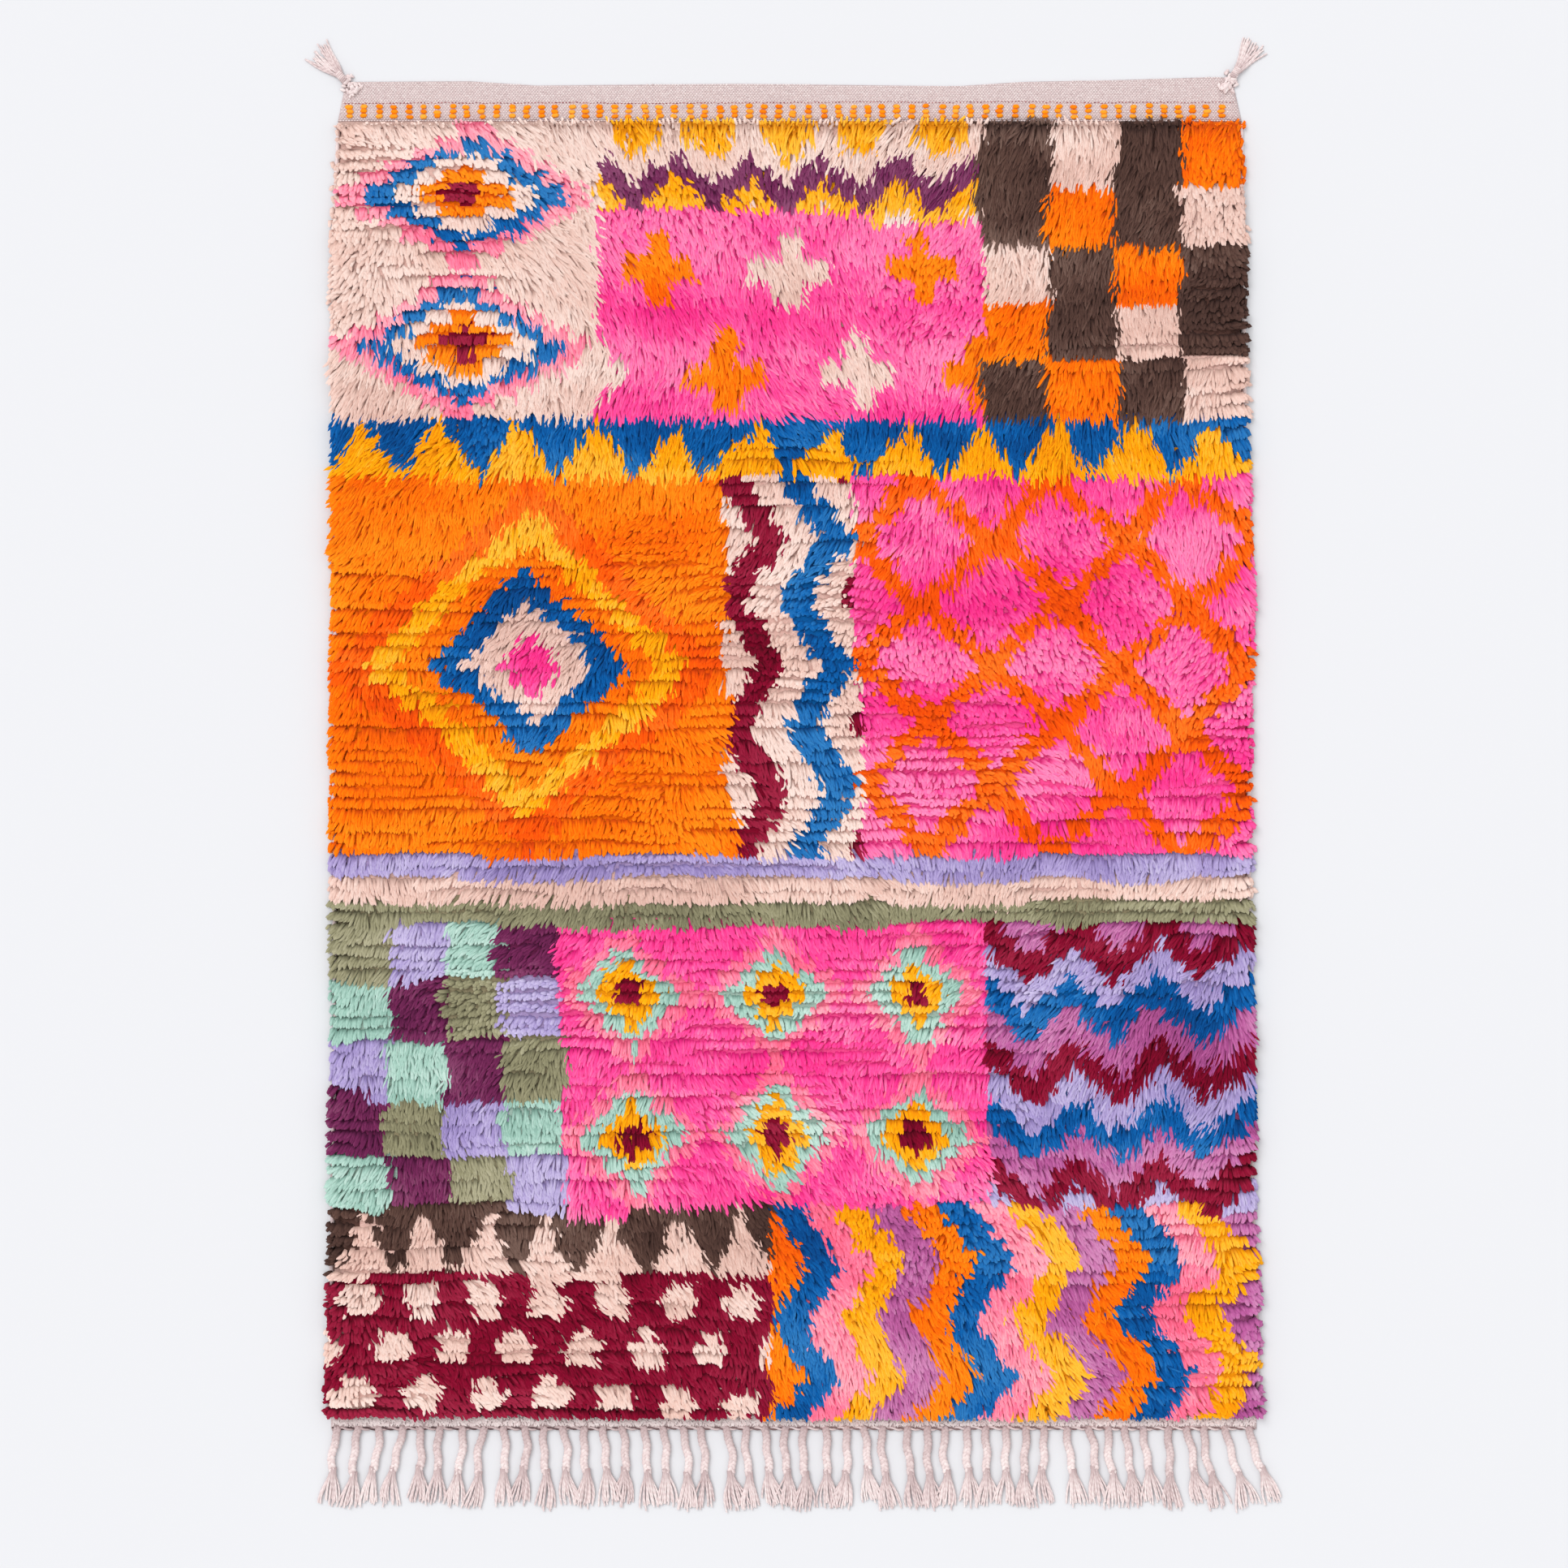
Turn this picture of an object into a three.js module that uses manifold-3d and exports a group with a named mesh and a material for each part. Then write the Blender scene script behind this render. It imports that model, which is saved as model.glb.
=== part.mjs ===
// A hand-knotted shag rug lying flat on a floor: the knotted pile field, a flat-woven end band with a knotted
// tassel at each corner, and a braided fringe on a narrow woven strip at the other end.
// Millimetres, +Z up. The origin is the middle of the pile field's underside, on the floor, and +Y runs from
// the fringed end to the flat-woven end.
import * as THREE from "three";
import { mergeVertices } from "three/addons/utils/BufferGeometryUtils.js";
import Module from "manifold-3d";

const wasm = await Module();
wasm.setup();

// Driving dimensions
const PILE_LENGTH = 2096;
const PILE_HEIGHT = 25; // mean height of the wool above the floor
const GAP = 0.3; // between neighbouring pieces
const PILE_TOP_END = PILE_LENGTH / 2;
const PILE_FRINGE_END = -PILE_LENGTH / 2;

// Side edges of the pile as it was woven: it widens and drifts a little towards the fringed end
const SIDE_EDGES = [
  { y: -1048, left: -752, right: 760 },
  { y: -860, left: -748, right: 756 },
  { y: -675, left: -746, right: 749 },
  { y: -400, left: -742, right: 744 },
  { y: -70, left: -744, right: 744 },
  { y: 250, left: -741, right: 745 },
  { y: 500, left: -739, right: 738 },
  { y: 900, left: -742, right: 734 },
  { y: 1048, left: -737, right: 732 },
];

// Pile field: soft lumps on its top, a rounded rim and locks of wool that stand out from the rim
const GRID_PITCH = 52; // of the points that carry the lumps
const RIM_STEPS = [0, 9, 24]; // distances in from the edge that draw the rounded rim
const RIM_WIDTH = 26; // over which the wool rises to its full height
const RIM_HEIGHT_SHARE = 0.42; // height of the rim's outermost line
const RIM_UNDERCUT = 5; // how far the floor outline lies inside that line along both sides
const LUMPS = [
  { alongX: 330, alongY: 215, slant: 0.6, phase: 0.4, height: 1.7 },
  { alongX: 192, alongY: 167, slant: -0.4, phase: 2.1, height: 1.7 },
  { alongX: 151, alongY: 246, slant: 0.9, phase: 4.4, height: 1.4 },
];
const LOCK_STATIONS = [
  { inside: 14, reachShare: 0, width: 24, height: 11 },
  { inside: 0, reachShare: 0.4, width: 20, height: 8 },
  { inside: 0, reachShare: 1, width: 9, height: 4 },
];
const LOCK_REACH = 11; // mean distance of a lock's tip from the rim
const LOCK_DRIFT = 3.5; // how far a tip may wander along the rim
const LOCK_LIFT = 9.5; // underside of a lock, clear of the woven ends that it hangs over
const LOCKS_PER_SIDE = 44;
const LOCKS_PER_END = 22;
const LOCK_CORNER_CLEAR = 30; // from a corner to the first lock

// Flat-woven end band: a thin sheet whose free edge waves a little
const BAND_THICKNESS = 4;
const BAND_INSET = 2; // from the pile's side edges, where the two meet
const BAND_EDGE = [
  { x: -722, y: 1113 },
  { x: -520, y: 1114 },
  { x: -415, y: 1107 },
  { x: -90, y: 1110 },
  { x: 270, y: 1106 },
  { x: 375, y: 1113 },
  { x: 535, y: 1116 },
  { x: 690, y: 1121 },
  { x: 714, y: 1119 },
];
const BAND_STEP = 40; // between the points of the free edge

// Corner tassels: a knot on each corner of the band, a wrapped neck beyond it and six strands that spread
const ON_BAND = BAND_THICKNESS + GAP;
const KNOT_AND_NECK = [
  { ahead: -18, z: ON_BAND, width: 12, height: 5 },
  { ahead: -7, z: ON_BAND, width: 17, height: 8 },
  { ahead: 2, z: ON_BAND, width: 14, height: 7 },
  { ahead: 9, z: 0, width: 13, height: 11 },
  { ahead: 20, z: 0, width: 11, height: 9 },
];
const NECK_END = KNOT_AND_NECK.at(-1).ahead;
const TASSEL_STRAND = { length: 46, width: 6, height: 5, rootWidth: 4, rootHeight: 4, rootDepth: 6 };
const TASSEL_STRANDS = 6;
const TASSEL_SPREAD = 0.42; // radians from the middle to the outermost strand
const TASSELS = [
  { name: "corner_tassel_left", x: -722.5, y: 1113.5, heading: 2.33 },
  { name: "corner_tassel_right", x: 714.5, y: 1119.5, heading: 0.99 },
];

// Fringe: braids on a narrow woven strip, each ending in a middle and two outer loose locks
const STRIP_WIDTH = 22;
const STRIP_THICKNESS = 5;
const STRIP_INSET = 6; // from the pile's side edges
const BRAIDS = 46;
const BRAID = { length: 76, width: 13, height: 9 };
const BRAID_ROOT_SHARE = 0.9; // thickness of a braid at its root
const BRAID_END_SHARE = 0.82; // and where it ends
const BRAID_OVERLAP = 6; // a braid's root inside the strip
const BRUSH = { length: 46, rootWidth: 8, tipWidth: 7, height: 6, tipHeight: 4 };
const BRUSH_OVERLAP = 9; // root of an outer loose lock inside its braid
const BRUSH_FAN = 0.22; // radians from the middle lock to an outer one
const BRAID_WANDER = 5; // how far a root may lie from its even place
const BRAID_SWAY = 16; // how far a tip may swing sideways
const BRAID_BOW = 3; // and a braid bow in its middle
const FRINGE_END_FAN = 34; // how far the outermost tips lean away from the middle
const TIP_SPACING = 28; // least distance between neighbouring tips

// Colours of the undyed and dyed wool
const wool = (color) => new THREE.MeshStandardMaterial({ color, roughness: 0.95, metalness: 0 });
const UNDYED = 0xdccdc8;
const DYED_PILE = 0xff7a1e;

// A repeatable number from -1 to 1 for piece i and purpose k, which makes the handwork uneven
function uneven(i, k) {
  const s = Math.sin(i * 12.9898 + k * 78.233) * 43758.5453;
  return 2 * (s - Math.floor(s)) - 1;
}

// Value of a column at a place, eased between the rows of a table
function along(table, place, column, at) {
  const last = table.length - 1;
  let i = 0;
  while (i < last - 1 && table[i + 1][place] < at) i += 1;
  const from = table[i];
  const to = table[i + 1];
  const t = THREE.MathUtils.smoothstep(at, from[place], to[place]);
  return THREE.MathUtils.lerp(from[column], to[column], t);
}

const leftEdge = (y) => along(SIDE_EDGES, "y", "left", y);
const rightEdge = (y) => along(SIDE_EDGES, "y", "right", y);

// A closed geometry from points and triangles
function closedGeometry(points, triangles) {
  const geometry = new THREE.BufferGeometry();
  geometry.setAttribute("position", new THREE.Float32BufferAttribute(points.flat(), 3));
  geometry.setIndex(triangles.flat());
  return geometry;
}

// Conversions between three.js geometry and solids that can be joined
function solidOf(geometry) {
  const bare = geometry.clone();
  bare.deleteAttribute("normal");
  bare.deleteAttribute("uv");
  const merged = mergeVertices(bare, 1e-4);
  return new wasm.Manifold(
    new wasm.Mesh({
      numProp: 3,
      vertProperties: new Float32Array(merged.attributes.position.array),
      triVerts: new Uint32Array(merged.index.array),
    }),
  );
}

function geometryOf(solid) {
  const mesh = solid.getMesh();
  const geometry = new THREE.BufferGeometry();
  geometry.setAttribute("position", new THREE.BufferAttribute(new Float32Array(mesh.vertProperties), 3));
  geometry.setIndex(new THREE.BufferAttribute(new Uint32Array(mesh.triVerts), 1));
  return geometry;
}

function united(solids) {
  if (solids.length === 1) return solids[0];
  const half = Math.ceil(solids.length / 2);
  return united(solids.slice(0, half)).add(united(solids.slice(half)));
}

const joined = (geometries) => geometryOf(united(geometries.map(solidOf)));

function node(name, geometry, color) {
  geometry.computeVertexNormals();
  const mesh = new THREE.Mesh(geometry, wool(color));
  mesh.name = name;
  return mesh;
}

// A strand through stations of { x, y, z, width, height }, where z is its flat underside. Its section is a
// list of corners, each with its share of half the width across and its share of the height up.
const BLUNT = [
  { across: -1, up: 0 },
  { across: 1, up: 0 },
  { across: 0.66, up: 1 },
  { across: -0.66, up: 1 },
];
const RIDGED = [
  { across: -1, up: 0 },
  { across: 1, up: 0 },
  { across: 0, up: 1 },
];
function strand(stations, section) {
  const sides = section.length;
  const points = [];
  const triangles = [];
  stations.forEach((s, i) => {
    const before = stations[Math.max(i - 1, 0)];
    const after = stations[Math.min(i + 1, stations.length - 1)];
    const heading = new THREE.Vector2(after.x - before.x, after.y - before.y).normalize();
    for (const { across, up } of section) {
      const offset = (across * s.width) / 2;
      points.push([s.x - heading.y * offset, s.y + heading.x * offset, s.z + up * s.height]);
    }
  });
  for (let i = 0; i < stations.length - 1; i += 1) {
    for (let k = 0; k < sides; k += 1) {
      const a = i * sides + k;
      const b = i * sides + ((k + 1) % sides);
      triangles.push([a, b, b + sides], [a, b + sides, a + sides]);
    }
  }
  const end = points.length - sides;
  for (let k = 1; k < sides - 1; k += 1) {
    triangles.push([0, k + 1, k], [end, end + k, end + k + 1]);
  }
  return closedGeometry(points, triangles);
}

// Pile field
function lumpHeight(x, y) {
  const wave = (row) =>
    row.height *
    Math.sin(2 * Math.PI * (x / row.alongX) + row.slant * (y / row.alongY) + row.phase) *
    Math.cos(2 * Math.PI * (y / row.alongY) + 2 * row.phase);
  return LUMPS.reduce((sum, row) => sum + wave(row), 0);
}

// Distances from one edge to the other: the rim's steps at both ends and even steps between them
function gridLines(length) {
  const inner = length - 2 * RIM_STEPS.at(-1);
  const steps = Math.round(inner / GRID_PITCH);
  const middle = Array.from({ length: steps - 1 }, (_, i) => RIM_STEPS.at(-1) + (inner * (i + 1)) / steps);
  return [...RIM_STEPS, ...middle, ...RIM_STEPS.toReversed().map((d) => length - d)];
}

function rimShare(distance) {
  const inside = Math.min(distance / RIM_WIDTH, 1);
  return RIM_HEIGHT_SHARE + (1 - RIM_HEIGHT_SHARE) * Math.sqrt(1 - (1 - inside) ** 2);
}

function pileSlab() {
  const rows = gridLines(PILE_LENGTH);
  const typicalWidth = rightEdge(0) - leftEdge(0);
  const columns = gridLines(typicalWidth);
  const points = [];
  for (const d of rows) {
    const y = PILE_FRINGE_END + d;
    const left = leftEdge(y);
    const stretch = (rightEdge(y) - left) / typicalWidth;
    for (const c of columns) {
      const x = left + c * stretch;
      const fromEdge = Math.min(c, typicalWidth - c, d, PILE_LENGTH - d);
      const share = rimShare(fromEdge);
      points.push([x, y, share * (PILE_HEIGHT + (fromEdge > 0 ? lumpHeight(x, y) : 0))]);
    }
  }
  const wide = columns.length;
  const at = (row, column) => row * wide + column;
  const triangles = [];
  for (let r = 0; r < rows.length - 1; r += 1) {
    for (let c = 0; c < wide - 1; c += 1) {
      triangles.push([at(r, c), at(r, c + 1), at(r + 1, c + 1)], [at(r, c), at(r + 1, c + 1), at(r + 1, c)]);
    }
  }
  // The rim, anticlockwise seen from above, and its outline on the floor
  const rim = [
    ...columns.map((_, c) => at(0, c)),
    ...rows.slice(1).map((_, r) => at(r + 1, wide - 1)),
    ...columns.slice(1).map((_, c) => at(rows.length - 1, wide - 2 - c)),
    ...rows.slice(1, -1).map((_, r) => at(rows.length - 2 - r, 0)),
  ];
  const floorStart = points.length;
  const floor = rim.map((i) => {
    const [x, y] = points[i];
    const narrower = 1 - (2 * RIM_UNDERCUT) / typicalWidth;
    return new THREE.Vector2(x * narrower, y);
  });
  floor.forEach((p) => points.push([p.x, p.y, 0]));
  rim.forEach((top, i) => {
    const next = (i + 1) % rim.length;
    triangles.push([floorStart + i, floorStart + next, rim[next]], [floorStart + i, rim[next], top]);
  });
  for (const [a, b, c] of THREE.ShapeUtils.triangulateShape(floor, [])) {
    triangles.push([floorStart + a, floorStart + c, floorStart + b]);
  }
  return closedGeometry(points, triangles);
}

// One lock of wool that leaves the rim at a point, heading outwards
function rimLock(x, y, outX, outY, i) {
  const stations = LOCK_STATIONS.map(({ inside, reachShare, width, height }) => {
    const out = reachShare * LOCK_REACH * (1 + 0.25 * uneven(i, 1)) - inside;
    const aside = reachShare * LOCK_DRIFT * uneven(i, 2);
    return {
      x: x + outX * out - outY * aside,
      y: y + outY * out + outX * aside,
      z: LOCK_LIFT,
      width: width * (1 + 0.2 * uneven(i, 3)),
      height,
    };
  });
  return strand(stations, RIDGED);
}

function rimLocks() {
  const locks = [];
  const spaced = (i, count, from, to) => from + ((to - from) * (i + 0.5 + 0.2 * uneven(i, 4))) / count;
  const lowest = PILE_FRINGE_END + LOCK_CORNER_CLEAR;
  const highest = PILE_TOP_END - LOCK_CORNER_CLEAR;
  for (let i = 0; i < LOCKS_PER_SIDE; i += 1) {
    const y = spaced(i, LOCKS_PER_SIDE, lowest, highest);
    locks.push(rimLock(leftEdge(y), y, -1, 0, i), rimLock(rightEdge(y), y, 1, 0, i + LOCKS_PER_SIDE));
  }
  for (const [end, outY] of [[PILE_TOP_END, 1], [PILE_FRINGE_END, -1]]) {
    const from = leftEdge(end) + LOCK_CORNER_CLEAR;
    const to = rightEdge(end) - LOCK_CORNER_CLEAR;
    for (let i = 0; i < LOCKS_PER_END; i += 1) {
      locks.push(rimLock(spaced(i, LOCKS_PER_END, from, to), end, 0, outY, i + 3 * LOCKS_PER_SIDE));
    }
  }
  return locks;
}

// Flat-woven end band, from the pile to its waving free edge
function endBand() {
  const near = PILE_TOP_END + GAP;
  const outline = new THREE.Shape();
  const left = BAND_EDGE[0].x;
  const right = BAND_EDGE.at(-1).x;
  const steps = Math.round((right - left) / BAND_STEP);
  outline.moveTo(leftEdge(near) + BAND_INSET, near);
  outline.lineTo(rightEdge(near) - BAND_INSET, near);
  for (let i = steps; i >= 0; i -= 1) {
    const x = left + ((right - left) * i) / steps;
    outline.lineTo(x, along(BAND_EDGE, "x", "y", x));
  }
  outline.closePath();
  return new THREE.ExtrudeGeometry(outline, { depth: BAND_THICKNESS, bevelEnabled: false });
}

// Corner tassel: its knot on the band, its neck and the strands that spread on the floor
function cornerTassel({ x, y, heading }) {
  const beyond = (from, angle, distance) => ({
    x: from.x + Math.cos(angle) * distance,
    y: from.y + Math.sin(angle) * distance,
  });
  const corner = { x, y };
  const neck = strand(
    KNOT_AND_NECK.map(({ ahead, ...shape }) => ({ ...beyond(corner, heading, ahead), ...shape })),
    BLUNT,
  );
  const root = beyond(corner, heading, NECK_END - TASSEL_STRAND.rootDepth);
  const spreadFrom = beyond(corner, heading, NECK_END);
  const strands = Array.from({ length: TASSEL_STRANDS }, (_, i) => {
    const angle = heading + ((2 * i) / (TASSEL_STRANDS - 1) - 1) * TASSEL_SPREAD;
    const length = TASSEL_STRAND.length * (1 + 0.15 * uneven(i, heading));
    const part = (at, size) => ({
      ...beyond(spreadFrom, angle, at),
      z: 0,
      width: TASSEL_STRAND.width * size,
      height: TASSEL_STRAND.height * size,
    });
    const start = { ...root, z: 0, width: TASSEL_STRAND.rootWidth, height: TASSEL_STRAND.rootHeight };
    return strand([start, part(length * 0.4, 1), part(length, 0.8)], BLUNT);
  });
  return joined([neck, ...strands]);
}

// Braided fringe on its strip, all lying on the floor
function fringe() {
  const near = PILE_FRINGE_END - GAP;
  const far = near - STRIP_WIDTH;
  const left = leftEdge(PILE_FRINGE_END) + STRIP_INSET;
  const right = rightEdge(PILE_FRINGE_END) - STRIP_INSET;
  const strip = new THREE.BoxGeometry(right - left, STRIP_WIDTH, STRIP_THICKNESS);
  strip.translate((left + right) / 2, (near + far) / 2, STRIP_THICKNESS / 2);
  const pieces = [strip];
  const station = (x, y, width, height) => ({ x, y, z: 0, width, height });
  let previousTip = -Infinity;
  for (let i = 0; i < BRAIDS; i += 1) {
    const evenShare = (i + 0.5) / BRAIDS;
    const x = left + (right - left) * evenShare + BRAID_WANDER * uneven(i, 5);
    const lean = FRINGE_END_FAN * (2 * evenShare - 1) ** 5 + BRAID_SWAY * uneven(i, 6);
    const tipX = Math.max(x + lean, previousTip + TIP_SPACING);
    previousTip = tipX;
    const length = BRAID.length * (1 + 0.07 * uneven(i, 8));
    const heading = Math.atan2(-(length + BRUSH.length), tipX - x);
    const end = { x: x - length / Math.tan(heading), y: far - length };
    const bow = BRAID_BOW * uneven(i, 7);
    const beyondEnd = (angle, d, width, height) =>
      station(end.x + Math.cos(angle) * d, end.y + Math.sin(angle) * d, width, height);
    const looseLength = (k) => BRUSH.length * (1 + 0.1 * uneven(i, 12 + k));
    const braid = [
      station(x, far + BRAID_OVERLAP, BRAID.width * BRAID_ROOT_SHARE, BRAID.height * BRAID_ROOT_SHARE),
      station((x + end.x) / 2 + bow, far - length / 2, BRAID.width, BRAID.height),
      station(end.x, end.y, BRAID.width * BRAID_END_SHARE, BRAID.height * BRAID_END_SHARE),
      beyondEnd(heading, looseLength(0), BRUSH.tipWidth, BRUSH.tipHeight),
    ];
    pieces.push(strand(braid, BLUNT));
    for (const side of [-1, 1]) {
      const angle = heading + side * BRUSH_FAN * (1 + 0.15 * uneven(i, 10 + side));
      const loose = [
        beyondEnd(angle, -BRUSH_OVERLAP, BRUSH.rootWidth, BRUSH.height),
        beyondEnd(angle, looseLength(side), BRUSH.tipWidth, BRUSH.tipHeight),
      ];
      pieces.push(strand(loose, RIDGED));
    }
  }
  return joined(pieces);
}

const rug = new THREE.Group();
rug.add(node("pile_field", joined([pileSlab(), ...rimLocks()]), DYED_PILE));
rug.add(node("end_band", endBand(), UNDYED));
for (const tassel of TASSELS) rug.add(node(tassel.name, cornerTassel(tassel), UNDYED));
rug.add(node("braided_fringe", fringe(), UNDYED));

export default rug;
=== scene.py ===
from collections import namedtuple

import bpy
import numpy as np
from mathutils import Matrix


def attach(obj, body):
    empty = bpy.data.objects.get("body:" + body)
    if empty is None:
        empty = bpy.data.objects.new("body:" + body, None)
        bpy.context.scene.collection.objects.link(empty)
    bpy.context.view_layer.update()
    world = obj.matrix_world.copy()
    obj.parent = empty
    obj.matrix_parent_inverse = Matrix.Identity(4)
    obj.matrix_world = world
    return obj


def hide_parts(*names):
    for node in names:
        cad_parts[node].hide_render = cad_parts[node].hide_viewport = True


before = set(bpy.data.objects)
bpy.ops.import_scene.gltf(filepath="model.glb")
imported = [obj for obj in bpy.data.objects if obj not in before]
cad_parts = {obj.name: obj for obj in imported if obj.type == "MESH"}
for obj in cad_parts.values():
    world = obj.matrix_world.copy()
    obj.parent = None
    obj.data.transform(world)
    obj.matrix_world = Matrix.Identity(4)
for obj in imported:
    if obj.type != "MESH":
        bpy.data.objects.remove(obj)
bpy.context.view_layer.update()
scene = bpy.context.scene

# Ground weave: the woven foundation of undyed warps and wefts, with a knot of pile yarn tied on each pair of
# warps. It lies flat on the floor, and the backs of the knots show on its underside in the pile's colours, so
# the chart of the design is worked out here.
MM = 0.001
FIELD_LENGTH = 2096 * MM
FIELD_TOP = FIELD_LENGTH / 2
GROUND_TOP = 3.0 * MM
GROUND_UNDERSIDE = 0.4 * MM
GROUND_INSET = 3.0 * MM  # from the slab's side edges, under the outermost locks
KNOT_ROWS = 112
KNOT_COLUMNS = 148
ROW_PITCH = FIELD_LENGTH / KNOT_ROWS
CHART_WIDTH = 1490  # the chart's own measure across, in millimetres

Edge = namedtuple("Edge", "y left right")
SIDE_EDGES = [
    Edge(-1048, -752, 760),
    Edge(-860, -748, 756),
    Edge(-675, -746, 749),
    Edge(-400, -742, 744),
    Edge(-70, -744, 744),
    Edge(250, -741, 745),
    Edge(500, -739, 738),
    Edge(900, -742, 734),
    Edge(1048, -737, 732),
]


def between(low, high, share):
    return low + (high - low) * share


def eased(low, high, value):
    """A soft step from 0 at the first value to 1 at the second."""
    t = np.clip((value - low) / (high - low), 0, 1)
    return t * t * (3 - 2 * t)


def side_edges(y):
    """The field's left and right edge at any distance along the rug."""
    table = np.array(SIDE_EDGES) * MM
    i = np.clip(np.searchsorted(table[:, 0], y) - 1, 0, len(table) - 2)
    share = eased(table[i, 0], table[i + 1, 0], y)
    return tuple(between(table[i, k], table[i + 1, k], share) for k in (1, 2))


def soft_noise(x, y, seed):
    """Smooth noise from -1 to 1 over a lattice one unit wide."""
    size = 61
    lattice = np.random.default_rng(seed).uniform(-1, 1, (size, size))
    i, j = np.floor(x).astype(int), np.floor(y).astype(int)
    s, t = eased(0, 1, x - i), eased(0, 1, y - j)

    def at(di, dj):
        return lattice[(i + di) % size, (j + dj) % size]

    return between(between(at(0, 0), at(1, 0), s), between(at(0, 1), at(1, 1), s), t)


Yarn = namedtuple("Yarn", "name deep body faded")
YARNS = [
    Yarn("cream", (214, 173, 160), (235, 200, 188), (247, 225, 216)),
    Yarn("orange", (238, 84, 0), (255, 120, 0), (255, 150, 22)),
    Yarn("deep_orange", (222, 66, 0), (255, 96, 2), (255, 128, 36)),
    Yarn("marigold", (238, 134, 0), (255, 172, 4), (255, 200, 70)),
    Yarn("hot_pink", (236, 14, 126), (255, 84, 160), (255, 150, 192)),
    Yarn("salmon", (240, 84, 122), (255, 128, 160), (255, 184, 194)),
    Yarn("cobalt", (0, 58, 120), (4, 96, 170), (54, 132, 196)),
    Yarn("brown", (58, 38, 34), (92, 66, 58), (126, 100, 90)),
    Yarn("sage", (110, 106, 82), (150, 146, 115), (184, 179, 150)),
    Yarn("mint", (126, 168, 154), (170, 206, 193), (206, 229, 220)),
    Yarn("lilac", (138, 120, 178), (176, 160, 209), (206, 196, 228)),
    Yarn("plum", (78, 20, 58), (116, 40, 86), (150, 84, 120)),
    Yarn("burgundy", (92, 0, 24), (134, 2, 42), (164, 40, 70)),
    Yarn("mauve", (148, 62, 122), (188, 96, 158), (214, 146, 190)),
]
YARN_NUMBER = {yarn.name: i for i, yarn in enumerate(YARNS)}

# Blocks of the chart, in millimetres from its upper left corner; wide and high are the motif's repeat
Block = namedtuple("Block", "left right top bottom motif wide high yarns")
CHART = [
    Block(0, 430, 0, 470, "lozenge", 430, 235, "burgundy orange cream cobalt salmon cream"),
    Block(430, 1060, 0, 140, "zigzag", 126, 44, "marigold cream plum"),
    Block(430, 1060, 140, 470, "crosses", 210, 165, "hot_pink orange cream"),
    Block(1060, 1490, 0, 470, "check", 108, 94, "brown cream brown orange"),
    Block(0, 1490, 470, 560, "sawtooth", 124, 90, "cobalt marigold"),
    Block(0, 640, 560, 1180, "lozenge", 640, 620, "hot_pink cream cobalt orange marigold deep_orange orange"),
    Block(640, 850, 560, 1180, "chevron", 52, 206, "cream burgundy cream cobalt"),
    Block(850, 1490, 560, 1180, "lattice", 213, 206, "hot_pink deep_orange marigold"),
    Block(0, 1490, 1180, 1290, "stripes", 1490, 37, "lilac cream sage"),
    Block(0, 380, 1290, 1750, "check", 95, 92, "sage lilac mint plum"),
    Block(380, 1060, 1290, 1750, "lozenge", 227, 230, "burgundy marigold mint salmon hot_pink"),
    Block(1060, 1490, 1290, 1750, "zigzag", 143, 48, "mauve burgundy lilac cobalt"),
    Block(0, 700, 1750, 1860, "sawtooth", 100, 110, "brown cream"),
    Block(0, 700, 1860, 2100, "grains", 100, 80, "burgundy cream"),
    Block(700, 1490, 1750, 2100, "chevron", 56, 175, "orange cobalt salmon marigold mauve"),
]


def fold(share):
    """A zigzag from 0 to 1 and back over each whole share."""
    return np.abs(share % 1 - 0.5) * 2


def lozenge(p, q, b, count):
    return (fold(p / b.wide) + fold(q / b.high)) * (count - 1)


def zigzag(p, q, b, count):
    return ((q + fold(p / b.wide) * b.wide * 0.45) / b.high) % count


def chevron(p, q, b, count):
    return ((p + fold(q / b.high) * b.high * 0.35) / b.wide) % count


def check(p, q, b, count):
    return (np.floor(p / b.wide) + 2 * np.floor(q / b.high) + np.floor(q / b.high / 2)) % count


def stripes(p, q, b, count):
    return (q / b.high) % count


def crosses(p, q, b, count):
    step = np.floor(q / b.high)
    p = p + (step % 2) * b.wide / 2
    dx, dy = np.abs(p % b.wide - b.wide / 2), np.abs(q % b.high - b.high / 2)
    arm, thick = 0.36 * b.high, 0.12 * b.high
    figure = ((dx < thick) & (dy < arm)) | ((dx < arm) & (dy < thick))
    return figure * (1 + (np.floor(p / b.wide) + step) % (count - 1))


def sawtooth(p, q, b, count):
    return q / (b.bottom - b.top) > fold(p / b.wide)


def grains(p, q, b, count):
    p = p + (np.floor(q / b.high) % 2) * b.wide / 2
    dx, dy = p % b.wide / b.wide - 0.5, q % b.high / b.high - 0.5
    return (dx / 0.3) ** 2 + (dy / 0.34) ** 2 < 1


def lattice(p, q, b, count):
    a, c = fold(p / b.wide + q / b.high), fold(p / b.wide - q / b.high)
    return ((np.minimum(a, c) < 0.2) + (np.maximum(a, c) < 0.3)).astype(int)


MOTIFS = {
    motif.__name__: motif
    for motif in (lozenge, zigzag, chevron, check, stripes, crosses, sawtooth, grains, lattice)
}
HAND_DRIFT = 13  # how far the weaver's lines wander, in millimetres


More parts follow.
